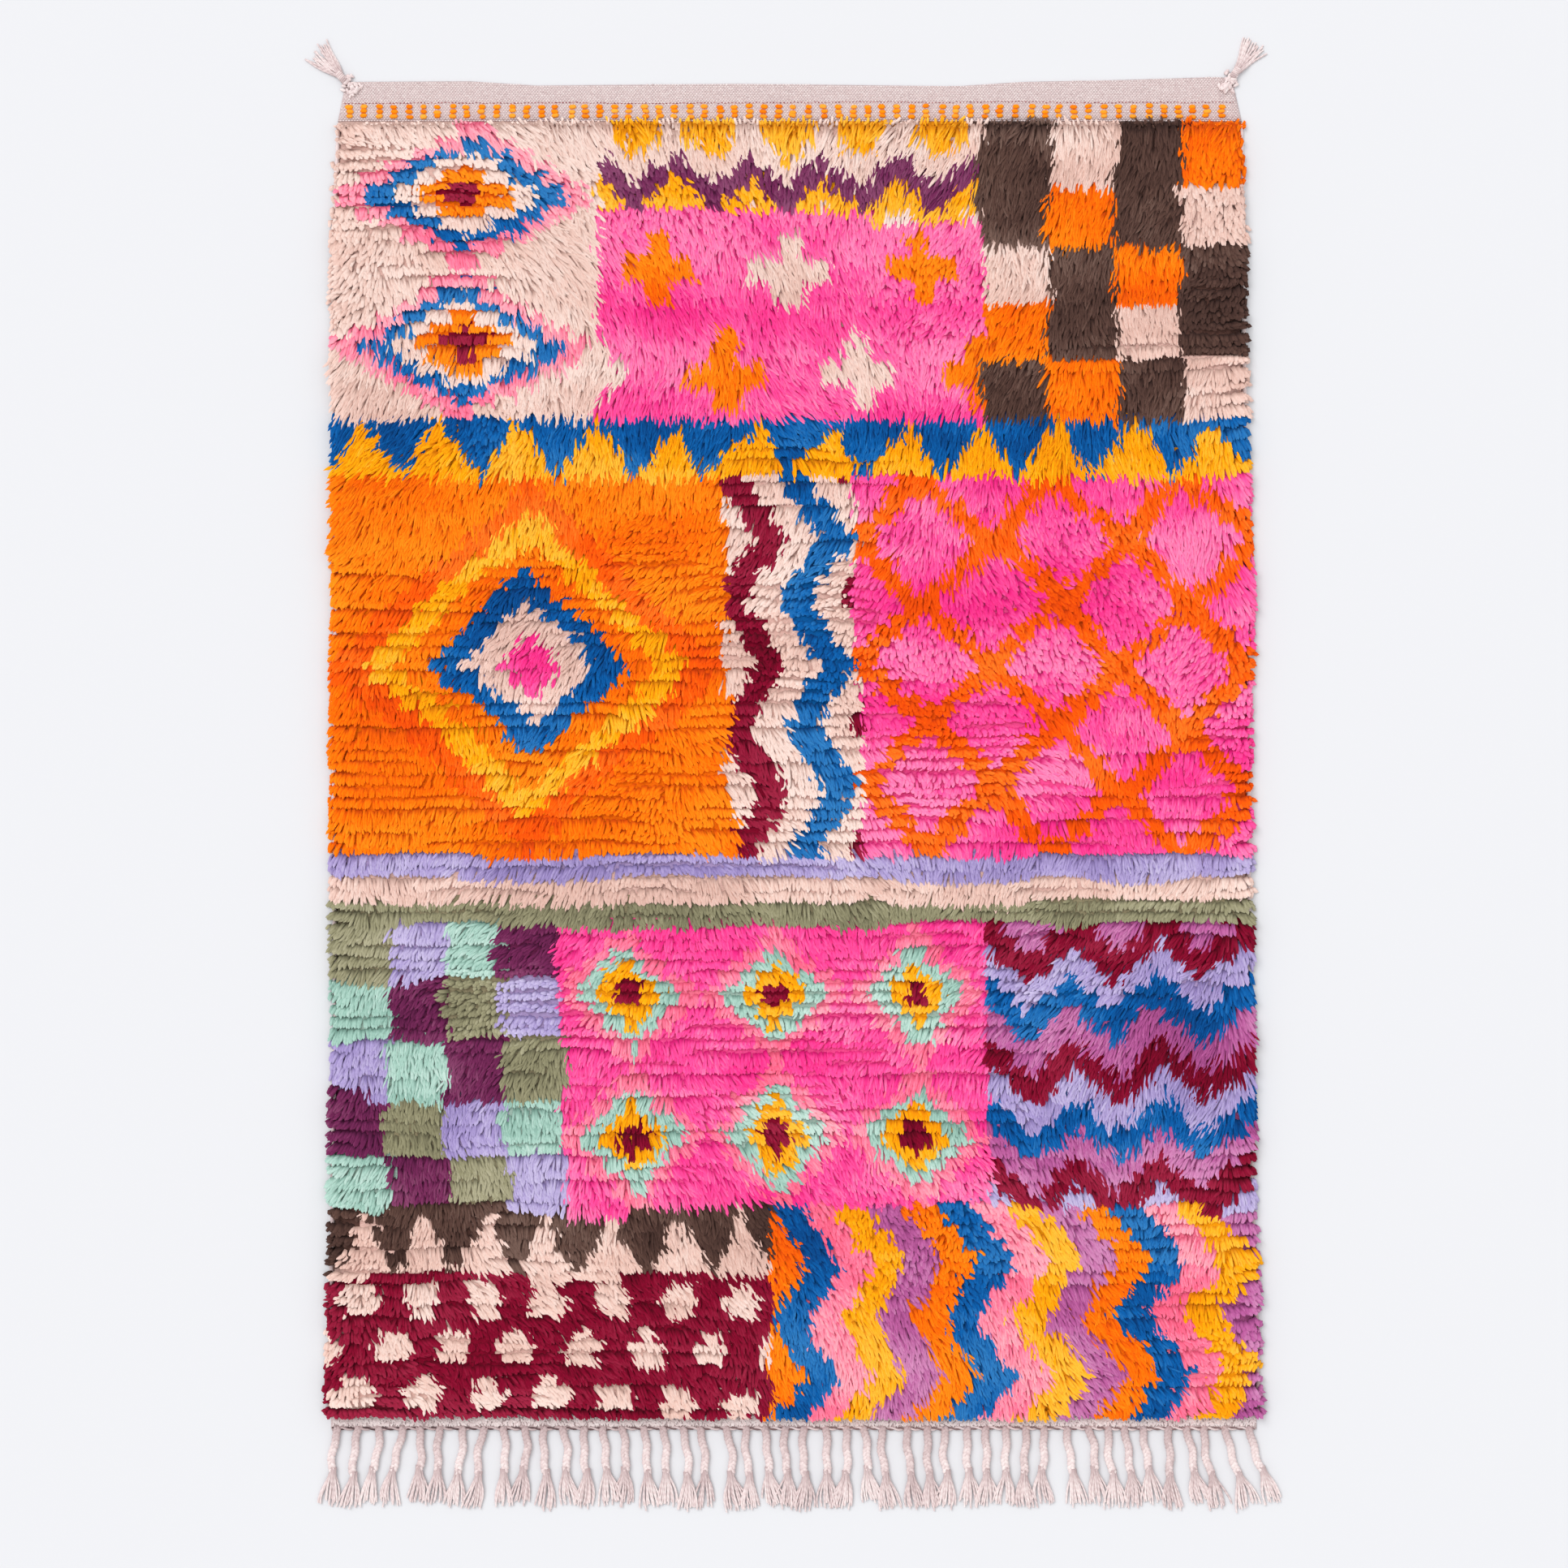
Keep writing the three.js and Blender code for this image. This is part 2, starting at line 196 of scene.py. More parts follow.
def chart(across, down):
    """The number of the yarn in each knot, from its place on the chart."""
    p = np.clip(across + HAND_DRIFT * soft_noise(down / 95, across / 310, 3), 0, CHART_WIDTH - 1)
    q = np.maximum(down + 0.6 * HAND_DRIFT * soft_noise(across / 190, down / 260, 4), 0)
    yarn = np.zeros(across.shape, int)
    for b in CHART:
        inside = (p >= b.left) & (p < b.right) & (q >= b.top) & (q < b.bottom)
        names = b.yarns.split()
        step = MOTIFS[b.motif](p[inside] - b.left, q[inside] - b.top, b, len(names))
        numbers = np.array([YARN_NUMBER[name] for name in names])
        yarn[inside] = numbers[np.clip(step.astype(int), 0, len(names) - 1)]
    return yarn


def linear(rgb):
    """A dye's colour in linear light."""
    s = np.array(rgb) / 255
    light = np.where(s <= 0.04045, s / 12.92, ((s + 0.055) / 1.055) ** 2.4)
    return (*light.tolist(), 1.0)


def wire(tree, kind, settings, sockets):
    """A new node, with its settings made and its sockets linked or given their values."""
    made = tree.nodes.new(kind)
    for key, value in settings.items():
        setattr(made, key, value)
    for key, value in sockets.items():
        if isinstance(value, bpy.types.NodeSocket):
            tree.links.new(value, made.inputs[key])
        else:
            made.inputs[key].default_value = value
    return made


class Tone:
    """A socket of a material's nodes, with the arithmetic that a pattern needs."""

    def __init__(self, tree, socket):
        self.tree = tree
        self.socket = socket

    def node(self, kind, settings, sockets, out=0):
        sockets = {key: getattr(value, "socket", value) for key, value in sockets.items()}
        return Tone(self.tree, wire(self.tree, kind, settings, sockets).outputs[out])

    def output(self, number):
        return Tone(self.tree, self.socket.node.outputs[number])

    def feeds(self, target):
        self.tree.links.new(self.socket, target)

    def math(self, operation, *values):
        return self.node("ShaderNodeMath", {"operation": operation}, dict(enumerate(values)))

    def clamped(self):
        return self.node("ShaderNodeMath", {"operation": "ADD", "use_clamp": True}, {0: self, 1: 0.0})

    def ramp(self, *stops):
        """The colour at this value in a row of dyes."""
        made = self.node("ShaderNodeValToRGB", {}, {0: self})
        elements = made.socket.node.color_ramp.elements
        while len(elements) < len(stops):
            elements.new(1.0)
        for element, (place, dye) in zip(elements, stops):
            element.position, element.color = place, linear(dye)
        return made

    def mixed(self, first, second, blend="MIX"):
        """Two colours, mixed by this value."""
        settings = {"data_type": "RGBA", "blend_type": blend}
        return self.node("ShaderNodeMix", settings, {0: self, 6: first, 7: second}, out=2)

    def __add__(self, other):
        return self.math("ADD", self, other)

    def __sub__(self, other):
        return self.math("SUBTRACT", self, other)

    def __rsub__(self, other):
        return self.math("SUBTRACT", other, self)

    def __mul__(self, other):
        return self.math("MULTIPLY", self, other)

    def __truediv__(self, other):
        return self.math("DIVIDE", self, other)

    __radd__, __rmul__ = __add__, __mul__


def wool_shader(name, sheen):
    """A matte woollen material: itself, a socket to start its pattern from, and its shader."""
    material = bpy.data.materials.new(name)
    material.use_nodes = True
    shader = material.node_tree.nodes["Principled BSDF"]
    shader.inputs["Specular IOR Level"].default_value = 0.05
    shader.inputs["Sheen Weight"].default_value = sheen
    shader.inputs["Sheen Roughness"].default_value = 0.6
    return material, Tone(material.node_tree, shader.outputs[0]), shader


def dress(shader, colour, roughness, relief, depth, strength):
    """Gives a wool its colour, its roughness and the relief of its yarn."""
    colour.feeds(shader.inputs["Base Color"])
    roughness.feeds(shader.inputs["Roughness"])
    bump = {"Strength": strength, "Distance": depth, "Height": relief}
    colour.node("ShaderNodeBump", {}, bump).feeds(shader.inputs["Normal"])


def new_piece(name, mesh):
    piece = bpy.data.objects.new(name, mesh)
    scene.collection.objects.link(piece)
    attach(piece, "root")
    return piece


def sheet_mesh(name, x, y, top, underside):
    """A thin closed sheet over a grid of points, given by the heights of its two faces."""
    rows, columns = x.shape
    upper = np.stack([x, y, np.broadcast_to(top, x.shape)], -1).reshape(-1, 3)
    lower = np.stack([x, y, np.broadcast_to(underside, x.shape)], -1).reshape(-1, 3)
    number = np.arange(rows * columns).reshape(rows, columns)
    a, b = number[:-1, :-1].ravel(), number[:-1, 1:].ravel()
    c, d = number[1:, 1:].ravel(), number[1:, :-1].ravel()
    rim = np.concatenate([number[0, :-1], number[:-1, -1], number[-1, :0:-1], number[:0:-1, 0]])
    following = np.roll(rim, -1)
    below = rows * columns
    faces = np.concatenate(
        [
            np.stack([a, b, c, d], 1),
            np.stack([a, d, c, b], 1) + below,
            np.stack([rim + below, following + below, following, rim], 1),
        ]
    )
    mesh = bpy.data.meshes.new(name)
    mesh.from_pydata(np.concatenate([upper, lower]).tolist(), [], faces.tolist())
    mesh.shade_smooth()
    return mesh


def field_grid(columns, side_inset, end_inset):
    """A grid over the field: its shares across, its places along the rug, and the x and y of its points."""
    across = np.linspace(0, 1, columns + 1)
    along = np.linspace(-FIELD_TOP + end_inset, FIELD_TOP - end_inset, KNOT_ROWS + 1)
    left, right = side_edges(along)
    left, right = left + side_inset, right - side_inset
    x = between(left[:, None], right[:, None], across)
    return across, along, x, np.broadcast_to(along[:, None], x.shape)


def knot_colours(mesh, across, along):
    """Gives each face of a sheet the colour of the knot at its middle, above and below."""
    p, q = np.meshgrid((across[:-1] + across[1:]) / 2, (along[:-1] + along[1:]) / 2)
    yarn = chart(p * CHART_WIDTH, (FIELD_TOP - q) / MM)
    knots = np.array([linear(dye.body) for dye in YARNS])[yarn]
    rim = [knots[0], knots[:, -1], knots[-1, ::-1], knots[::-1, 0]]
    colours = np.concatenate([knots.reshape(-1, 4), knots.reshape(-1, 4), *rim])
    mesh.color_attributes.new("knots", "FLOAT_COLOR", "CORNER").data.foreach_set(
        "color", np.repeat(colours, 4, 0).ravel().astype(np.float32)
    )


def woven(start, grain, ribs, wander):
    """The mottle of a weave's wool, and the ribs across it, which wander a little or a lot."""
    place = start.node("ShaderNodeTexCoord", {}, {}, out="Object")
    mottle = start.node("ShaderNodeTexNoise", {}, {"Vector": place, "Scale": grain, "Detail": 3.0})
    rows = {0: place, "Scale": ribs, "Distortion": wander}
    return mottle, start.node("ShaderNodeTexWave", {"bands_direction": "Y"}, rows)


def knotted_wool(name, shade, ribs, wander):
    """Wool in the colours of the knots, darkened by a painted shade, more in some patches, with rows of ribs
    across it.
    """
    material, start, shader = wool_shader(name, 0.05)
    mottle, rows = woven(start, 260.0, ribs, wander)
    knots = start.node("ShaderNodeVertexColor", {"layer_name": "knots"}, {})
    # Painted shade: the knot colours are multiplied by the given shade colour, by a share that follows the
    # mottle
    colour = (0.1 + mottle).clamped().mixed(knots, shade, "MULTIPLY")
    dress(shader, colour, 0.8 + 0.2 * mottle, rows, depth=1.0 * MM, strength=0.5)
    return material


ground_across, ground_along, ground_x, ground_y = field_grid(KNOT_COLUMNS // 4, GROUND_INSET, 0)
ground_mesh = sheet_mesh("ground_weave", ground_x, ground_y, GROUND_TOP, GROUND_UNDERSIDE)
knot_colours(ground_mesh, ground_across, ground_along)
# Painted shade on the ground weave, which lies in the shade under the pile
ground_mesh.materials.append(
    knotted_wool("ground_weave_wool", shade=(0.7, 0.66, 0.66, 1.0), ribs=340.0, wander=1.2)
)
ground_weave = new_piece("ground_weave", ground_mesh)
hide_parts("pile_field")

# Pile: tufts of thick, softly spun wool, tied row by row with a few shots of weft between rows. Each tuft
# falls over the row below it as combed locks, stands up where it was trodden less, and spills over the sides.
LOCK_LINES = 2  # lines of locks in each row of knots
LOCKS_ACROSS = 380
LOCK_WIDTH = 5.0 * MM
LOCK_REACH = 32.0 * MM
SHORTEST_REACH, LONGEST_REACH, SHORTEST_END_REACH = 10 * MM, 46 * MM, 6 * MM
PILE_HEIGHT = 23.5 * MM
RIM_WIDTH = 26.0 * MM
ROOT_RISE = 1.5 * MM
SIDE_SPILL = 7 * MM  # how far the locks may hang over the sides
END_SPILL, END_RAGGED = 1.0, 3.5  # and over the fringed end, in millimetres
EDGE_BY_SIDE, EDGE_BY_END = 9 * MM, 8 * MM  # strips in which the locks bend over the edge
TURNED_UP_LINE = 1.3  # lines below the top, where locks are turned up over the flat weave
SCATTER_ACROSS, SCATTER_ALONG = 1.4, 2.6  # of the knots, in millimetres
LONG_WAVE, SHORT_WAVE = 3.4, 1.5  # of the rows, in millimetres
CREASE_PULL = 6 * MM  # how far a crease draws the second line of a row away from the first
SHADES = 12  # tones of one dye lot, side by side on a lock's map
MAP_MARGIN = 0.05  # kept free at both sides of a tone on that map
Lump = namedtuple("Lump", "along_x along_y slant phase height")
LUMPS = [
    Lump(330, 215, 0.6, 0.4, 1.7),
    Lump(192, 167, -0.4, 2.1, 1.7),
    Lump(151, 246, 0.9, 4.4, 1.4),
]
LOCK_CURLS = [-1.7, -1.0, -0.5, -0.15, 0.15, 0.5, 1.0, 1.7]

# A strand form lies along X, with the place of each point around and along the strand's map, and the numbers
# of its flat under faces
Form = namedtuple("Form", "points faces around along under", defaults=[()])
COMBED_LOCK = Form(
    points=[
        (0.00, -0.46, 0.50),
        (0.00, 0.46, 0.50),
        (0.84, -0.42, 0.80),
        (0.60, 0.00, 0.92),
        (0.84, 0.42, 0.80),
        (1.03, 0.03, 0.86),
    ],
    faces=[(0, 2, 3), (0, 3, 1), (1, 3, 4), (2, 5, 3), (3, 5, 4), (0, 1, 4, 5, 2)],
    around=[0.0, 1.0, 0.0, 0.5, 1.0, 0.5],
    along=[0.06, 0.06, 0.84, 0.62, 0.84, 1.0],
    under=[5],
)
EDGE_LOCK = Form(
    points=[
        (0.00, 0.00, 0.00),
        (0.34, -0.50, 0.52),
        (0.30, 0.00, 0.86),
        (0.34, 0.50, 0.52),
        (0.94, -0.30, 0.22),
        (1.00, 0.30, 0.26),
    ],
    faces=[(0, 1, 2), (0, 2, 3), (0, 3, 1), (1, 4, 2), (2, 4, 5), (2, 5, 3), (1, 3, 5, 4)],
    around=[0.5, 0.0, 0.5, 1.0, 0.2, 0.8],
    along=[0.0, 0.44, 0.50, 0.44, 0.96, 1.0],
    under=[2, 6],
)


def strand_shapes(name, forms):
    """Forms to be repeated, each with its curl to one side, in a collection of their own."""
    shapes = bpy.data.collections.new(name)
    for i, (form, curl) in enumerate(forms):
        points = np.array(form.points)
        points[:, 1] += curl * points[:, 0] ** 2
        mesh = bpy.data.meshes.new(f"{name}_{i:02d}")
        mesh.from_pydata(points.tolist(), [], form.faces)
        mesh.shade_smooth()
        for face in form.under:
            for key in mesh.polygons[face].edge_keys:
                mesh.edges[mesh.edge_keys.index(key)].use_edge_sharp = True
        places = mesh.uv_layers.new(name="OFBake").data
        for loop in mesh.loops:
            places[loop.index].uv = (form.around[loop.vertex_index], form.along[loop.vertex_index])
        shapes.objects.link(bpy.data.objects.new(mesh.name, mesh))
    return shapes


class Grower:
    """A geometry node tree with named inputs, built one node at a time."""

    def __init__(self, name, inputs):
        self.tree = bpy.data.node_groups.new(name, "GeometryNodeTree")
        face = self.tree.interface
        face.new_socket("Geometry", in_out="INPUT", socket_type="NodeSocketGeometry")
        self.named = {
            label: face.new_socket(label, in_out="INPUT", socket_type=kind).identifier
            for label, kind in inputs.items()
        }
        face.new_socket("Geometry", in_out="OUTPUT", socket_type="NodeSocketGeometry")
        self.given = self.tree.nodes.new("NodeGroupInput").outputs
        self.result = self.tree.nodes.new("NodeGroupOutput").inputs

    def add(self, kind, settings, sockets, out=0):
        return wire(self.tree, kind, settings, sockets).outputs[out]

    def math(self, operation, *values):
        return self.add("ShaderNodeMath", {"operation": operation}, dict(enumerate(values)))

    def attribute(self, name, kind):
        return self.add("GeometryNodeInputNamedAttribute", {"data_type": kind}, {"Name": name})

    def stored(self, geometry, name, value, kind="FLOAT", domain="POINT"):
        return self.add(
            "GeometryNodeStoreNamedAttribute",
            {"data_type": kind, "domain": domain},
            {"Geometry": geometry, "Name": name, "Value": value},
        )

    def finish(self, geometry, around, along):
        """Stores the map of each strand, in the column of its own tone, and gives the strands their wool."""
        inset = self.math("MULTIPLY_ADD", around, 1 - 2 * MAP_MARGIN, MAP_MARGIN)
        column = self.math("ADD", inset, self.attribute("shade", "FLOAT"))
        share = self.math("DIVIDE", column, float(SHADES))
        place = self.add("ShaderNodeCombineXYZ", {}, {0: share, 1: along})
        mapped = self.stored(geometry, "OFBake", place, "FLOAT2", "CORNER")
        loose = self.add("GeometryNodeRealizeInstances", {}, {0: mapped})
        dyed = self.add("GeometryNodeSetMaterial", {}, {0: loose, "Material": self.given["Wool"]})
        self.tree.links.new(dyed, self.result[0])

    def grown(self, name, seed_mesh, values):
        """The tree's result on a seed mesh, as a piece with a plain mesh of its own."""
        carrier = bpy.data.objects.new(f"{name}_seed", seed_mesh)
        scene.collection.objects.link(carrier)
        modifier = carrier.modifiers.new("grow", "NODES")
        modifier.node_group = self.tree
        for label, value in values.items():
            modifier[self.named[label]] = value
        evaluated = carrier.evaluated_get(bpy.context.evaluated_depsgraph_get())
        mesh = bpy.data.meshes.new_from_object(evaluated)
        mesh.name = name
        bpy.data.objects.remove(carrier)
        bpy.data.meshes.remove(seed_mesh)
        for spare in ("turn", "size", "shape", "shade", "thick", "along", "around"):
            if spare in mesh.attributes:
                mesh.attributes.remove(mesh.attributes[spare])
        return new_piece(name, mesh)


lock_tree = Grower("locks_on_knots", {"Locks": "NodeSocketCollection", "Wool": "NodeSocketMaterial"})
lock_choice = lock_tree.add(
    "GeometryNodeCollectionInfo", {}, {0: lock_tree.given["Locks"], 1: True, 2: True}
)
lock_way = lock_tree.add("FunctionNodeEulerToRotation", {}, {0: lock_tree.attribute("turn", "FLOAT_VECTOR")})
tied_locks = lock_tree.add(
    "GeometryNodeInstanceOnPoints",
    {},
    {
        "Points": lock_tree.given["Geometry"],
        "Instance": lock_choice,
        "Pick Instance": True,
        "Instance Index": lock_tree.attribute("shape", "INT"),
        "Rotation": lock_way,
        "Scale": lock_tree.attribute("size", "FLOAT_VECTOR"),
    },
)
loose_locks = lock_tree.add("GeometryNodeRealizeInstances", {}, {0: tied_locks})
lock_map = lock_tree.add("ShaderNodeSeparateXYZ", {}, {0: lock_tree.attribute("OFBake", "FLOAT_VECTOR")})
lock_tree.finish(loose_locks, lock_map, lock_map.node.outputs[1])

SEED_KINDS = {
    "turn": "FLOAT_VECTOR",
    "size": "FLOAT_VECTOR",
    "shape": "INT",
    "shade": "FLOAT",
    "thick": "FLOAT",
}


def seeds(name, points, edges=(), **attributes):
    """A mesh of points, loose or joined along paths, that carry what each strand needs."""
    mesh = bpy.data.meshes.new(name)
    mesh.from_pydata(np.asarray(points).tolist(), list(edges), [])
    for key, values in attributes.items():
        field = "vector" if SEED_KINDS[key] == "FLOAT_VECTOR" else "value"
        dtype = np.int32 if SEED_KINDS[key] == "INT" else np.float32
        flat = np.asarray(values).ravel().astype(dtype)
        mesh.attributes.new(key, SEED_KINDS[key], "POINT").data.foreach_set(field, flat)
    return mesh


def locks_at(name, shapes, wool, points, **attributes):
    """A piece with one of the shapes at each point."""
    lock_seeds = seeds(f"{name}_knots", points, **attributes)
    return lock_tree.grown(name, lock_seeds, {"Locks": shapes, "Wool": wool})


def yarn_wool(name, deep, body, faded, painted_root_shade=0.6, twists=0.0, painted_flank_shade=0.0):
    """Softly spun wool: fibre streaks along it, painted shade at the root and flanks, a paler tip, in one
    dye's tones.
    """
    material, start, shader = wool_shader(name, 0.06)
    strand_map = start.node("ShaderNodeUVMap", {"uv_map": "OFBake"}, {})
    place = start.node("ShaderNodeSeparateXYZ", {}, {0: strand_map})
    along = place.output(1)
    column = place * float(SHADES)
    shade = column.math("FLOOR", column)
    around = column - shade
    fibre_place = start.node("ShaderNodeCombineXYZ", {}, {0: 5.0 * around, 1: 1.7 * along, 2: 7.3 * shade})
    fibres = start.node("ShaderNodeTexNoise", {}, {"Vector": fibre_place, "Scale": 1.6, "Detail": 4.0})
    level = shade / (SHADES - 1.0) * 0.7 + 0.05 + 0.4 * (fibres - 0.5) + 0.22 * along
    relief = fibres
    # With twists, the plies are painted as lighter and darker bands: painted shade in the grooves between
    # them, besides their relief
    if twists:
        turns = 2 * np.pi * (twists * along + 0.5 * around + 0.37 * shade)
        ply = 0.5 + 0.5 * turns.math("SINE", turns)
        level = level + 0.3 * ply - 0.2
        relief = 0.4 * fibres + 0.8 * ply
    dyed = level.clamped().ramp((0.0, deep), (0.5, body), (1.0, faded))
    # Painted shade: a darker root colour at the root end, under the strands above, and along the flanks
    root = tuple(painted_root_shade * c for c in linear(deep)[:3]) + (1.0,)
    flank = 2 * around - 1
    lit = (2.2 * along - 0.1).clamped() * (1 - painted_flank_shade * flank * flank * flank * flank)
    dress(shader, lit.mixed(root, dyed), 0.78 + 0.2 * fibres, relief, depth=0.8 * MM, strength=0.35)
    return material


def lumps(x, y):
    x, y = x / MM, y / MM
    swell = np.zeros(x.shape)
    for w in LUMPS:
        across = np.sin(2 * np.pi * x / w.along_x + w.slant * y / w.along_y + w.phase)
        swell += w.height * across * np.cos(2 * np.pi * y / w.along_y + 2 * w.phase)
    return swell * MM


# The feet of the tufts, a lumpy cushion of wool that shows only between the locks
FEET_SHARE = 0.68  # of the pile's height
FEET_INSET = 9 * MM
FEET_SLOPE = 30 * MM  # the strip at the edges in which the cushion rises
FIELD_WIDTH = 1.5
feet_across, feet_along, feet_x, feet_y = field_grid(KNOT_COLUMNS // 2, FEET_INSET, FEET_INSET)
feet_rim = FIELD_WIDTH * np.minimum(feet_across, 1 - feet_across)[None, :]
feet_rim = np.minimum(feet_rim, np.minimum(feet_along + FIELD_TOP, FIELD_TOP - feet_along)[:, None])
feet_top = PILE_HEIGHT * FEET_SHARE + lumps(feet_x, feet_y)
feet_top = feet_top * (0.45 + 0.55 * eased(0, FEET_SLOPE, feet_rim))
feet_mesh = sheet_mesh("pile_feet", feet_x, feet_y, feet_top, GROUND_TOP)
knot_colours(feet_mesh, feet_across, feet_along)
# Painted shade on the feet, darker still, for the shade in the slits and creases between the locks
feet_mesh.materials.append(
    knotted_wool("pile_feet_wool", shade=(0.68, 0.55, 0.55, 1.0), ribs=90.0, wander=16.0)
)
pile_feet = new_piece("pile_feet", feet_mesh)
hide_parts("pile_field")

hand = np.random.default_rng(11)
lock_line, lock_column = np.meshgrid(
    np.arange(-1, KNOT_ROWS * LOCK_LINES), np.arange(LOCKS_ACROSS), indexing="ij"
)
lock_line, lock_column = lock_line.ravel(), lock_column.ravel()
lock_count = len(lock_line)
turned_up = lock_line < 0  # a first line that lies over the edge of the flat weave
knot_row, line_in_row = np.maximum(lock_line, 0) // LOCK_LINES, lock_line % LOCK_LINES
lock_share = (lock_column + 0.25 + 0.5 * (lock_line % 2)) / LOCKS_ACROSS
row_y = FIELD_TOP - (knot_row + 0.5) * ROW_PITCH
row_left, row_right = side_edges(row_y)
row_x = between(row_left, row_right, lock_share)
x_mm, y_mm = row_x / MM, row_y / MM
standing = eased(0.15, 0.65, soft_noise(x_mm / 250 + 7, y_mm / 190, 21))
creased = eased(-0.25, 0.45, soft_noise(x_mm / 270, y_mm / 240 + 5, 22) - 0.4 * y_mm / 1048 + 0.15)
creased *= 0.4 + 0.6 * eased(-0.4, 0.2, soft_noise(x_mm / 110, 1.1 * knot_row, 24))
row_wave = LONG_WAVE * soft_noise(x_mm / 80, 0.35 * knot_row, 25)
row_wave = row_wave + SHORT_WAVE * soft_noise(x_mm / 26, 0.8 * knot_row, 26)
row_wave *= eased(0, 60, np.minimum(FIELD_TOP - row_y, FIELD_TOP + row_y) / MM)
lock_x = row_x + hand.normal(0, SCATTER_ACROSS, lock_count) * MM
lock_y = FIELD_TOP - np.where(turned_up, TURNED_UP_LINE, lock_line + 0.5) * ROW_PITCH / LOCK_LINES
lock_y = lock_y + (row_wave + (1 - 0.75 * creased) * hand.normal(0, SCATTER_ALONG, lock_count)) * MM
lock_y = lock_y + CREASE_PULL * creased * (line_in_row == 1) * ~turned_up

# Each knot has one yarn, so the locks of a knot share its place on the chart
knot_column = np.minimum((lock_share * KNOT_COLUMNS).astype(int), KNOT_COLUMNS - 1)
lock_yarn = chart((knot_column + 0.5) * CHART_WIDTH / KNOT_COLUMNS, (knot_row + 0.5) * ROW_PITCH / MM)

# The way each lock was combed, turned from straight down the rug towards +X
from_left, from_right = lock_x - row_left, row_right - lock_x
from_side = np.minimum(from_left, from_right)
from_top, from_bottom = FIELD_TOP - lock_y, FIELD_TOP + lock_y
combed = 0.75 * soft_noise(x_mm / 400, y_mm / 310, 31) + 0.36 * soft_noise(x_mm / 125, y_mm / 105, 32)
combed += 0.3 * soft_noise(x_mm / 17, 1.7 * knot_row, 33) + hand.normal(0, 0.17, lock_count)
combed -= 0.4 * x_mm / 745 * eased(650, 150, from_top / MM)
outward = eased(70, 6, from_side / MM) * eased(60, 260, from_top / MM)
side = np.where(from_left < from_right, -1.0, 1.0)
combed = combed * (1 - 0.8 * outward) + 0.6 * side * outward
combed += np.pi * turned_up
reach = LOCK_REACH * (1 + (1 - 0.65 * creased) * hand.normal(0, 0.13, lock_count))
reach = reach * (1 - 0.5 * standing) * (1 - np.where(line_in_row == 1, 0.54, 0.44) * creased)
reach = np.clip(reach, SHORTEST_REACH, LONGEST_REACH)
leaves_side = np.maximum(side * np.sin(combed), 0.2)
reach = np.minimum(reach, (np.maximum(from_side, 0) + SIDE_SPILL) / leaves_side)
beyond_bottom = (END_SPILL + END_RAGGED * soft_noise(x_mm / 8, 0.9 * lock_line, 35)) * MM
reach = np.minimum(reach, np.maximum(from_bottom + beyond_bottom, SHORTEST_END_REACH))
reach = np.where(turned_up, 0.5 * reach, reach)
rim = np.clip(np.minimum(from_side, np.minimum(from_top, from_bottom) + 6 * MM) / RIM_WIDTH, 0, 1)
height = (PILE_HEIGHT + lumps(lock_x, lock_y)) * (0.5 + 0.5 * np.sqrt(1 - (1 - rim) ** 2))
height = np.where(turned_up, 0.82 * height, height)
height += (hand.normal(0, 0.9, lock_count) + standing - 1.5 * creased * (line_in_row == 0)) * MM
at_edge = turned_up | (from_side < EDGE_BY_SIDE) | (from_bottom < EDGE_BY_END)
laid_flat = np.minimum(0.34 * height / reach, 0.5)  # the pitch that brings a lock's end down to its bend
pitch = laid_flat * (0.85 - 0.5 * creased) + hand.normal(0, 0.03, lock_count)
pitch = np.where(at_edge, 0.12 * eased(24, 6, from_side / MM), pitch)
width = LOCK_WIDTH * (1 + hand.normal(0, 0.1, lock_count)) * (1 + 0.35 * standing)
width = width * (1 + 0.15 * eased(45, 15, from_side / MM)) * (1 + 0.2 * creased)
lock_turn = np.stack([hand.normal(0, 0.14, lock_count), pitch, combed - np.pi / 2], 1)
lock_size = np.stack([reach, width, height], 1)
curl = 3.5 + 2.4 * soft_noise(x_mm / 60, y_mm / 60, 34) + hand.normal(0, 0.9, lock_count)
curl = np.where(at_edge, np.clip(curl, 2, 5), curl)
lock_shape = np.clip(np.round(curl), 0, len(LOCK_CURLS) - 1) + len(LOCK_CURLS) * at_edge
abrash = 5.5 * soft_noise(x_mm / 210, y_mm / 95, 41) + 2.6 * soft_noise(x_mm / 45, y_mm / 30, 42)
abrash += 1.4 * soft_noise(x_mm / 90, 3.1 * knot_row, 43) + hand.normal(0, 1.2, lock_count)


def nearest_tone(level):
    return np.clip(np.round(level), 0, SHADES - 1)


lock_shade = nearest_tone(5.5 + abrash)
lock_root = np.stack([lock_x, lock_y, ROOT_RISE + 0.75 * reach * pitch], 1)

lock_shapes = strand_shapes(
    "lock_shapes", [(form, curl) for form in (COMBED_LOCK, EDGE_LOCK) for curl in LOCK_CURLS]
)
for number, yarn in enumerate(YARNS):
    chosen = lock_yarn == number
    # Each yarn's locks get painted shade at their roots and flanks, which darkens the slits and creases
    # between them
    tufts = locks_at(
        f"pile_{yarn.name}",
        lock_shapes,
        yarn_wool(f"{yarn.name}_pile_wool", yarn.deep, yarn.body, yarn.faded, painted_flank_shade=0.7),
        lock_root[chosen],
        turn=lock_turn[chosen],
        size=lock_size[chosen],
        shape=lock_shape[chosen],
        shade=lock_shade[chosen],
    )
    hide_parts("pile_field")

# Selvedges: the outermost warps of both sides, wrapped over and over with undyed yarn, so that the edge of
# the weave is a firm cord. They lie on the floor under the locks that spill over the sides.
SELVEDGE_RADIUS = 3.6 * MM
SELVEDGE_WRAP = 12 * MM
SELVEDGE_INSET = 3.0 * MM
UNDYED = {"deep": (190, 168, 168), "body": (226, 207, 206), "faded": (242, 231, 229)}

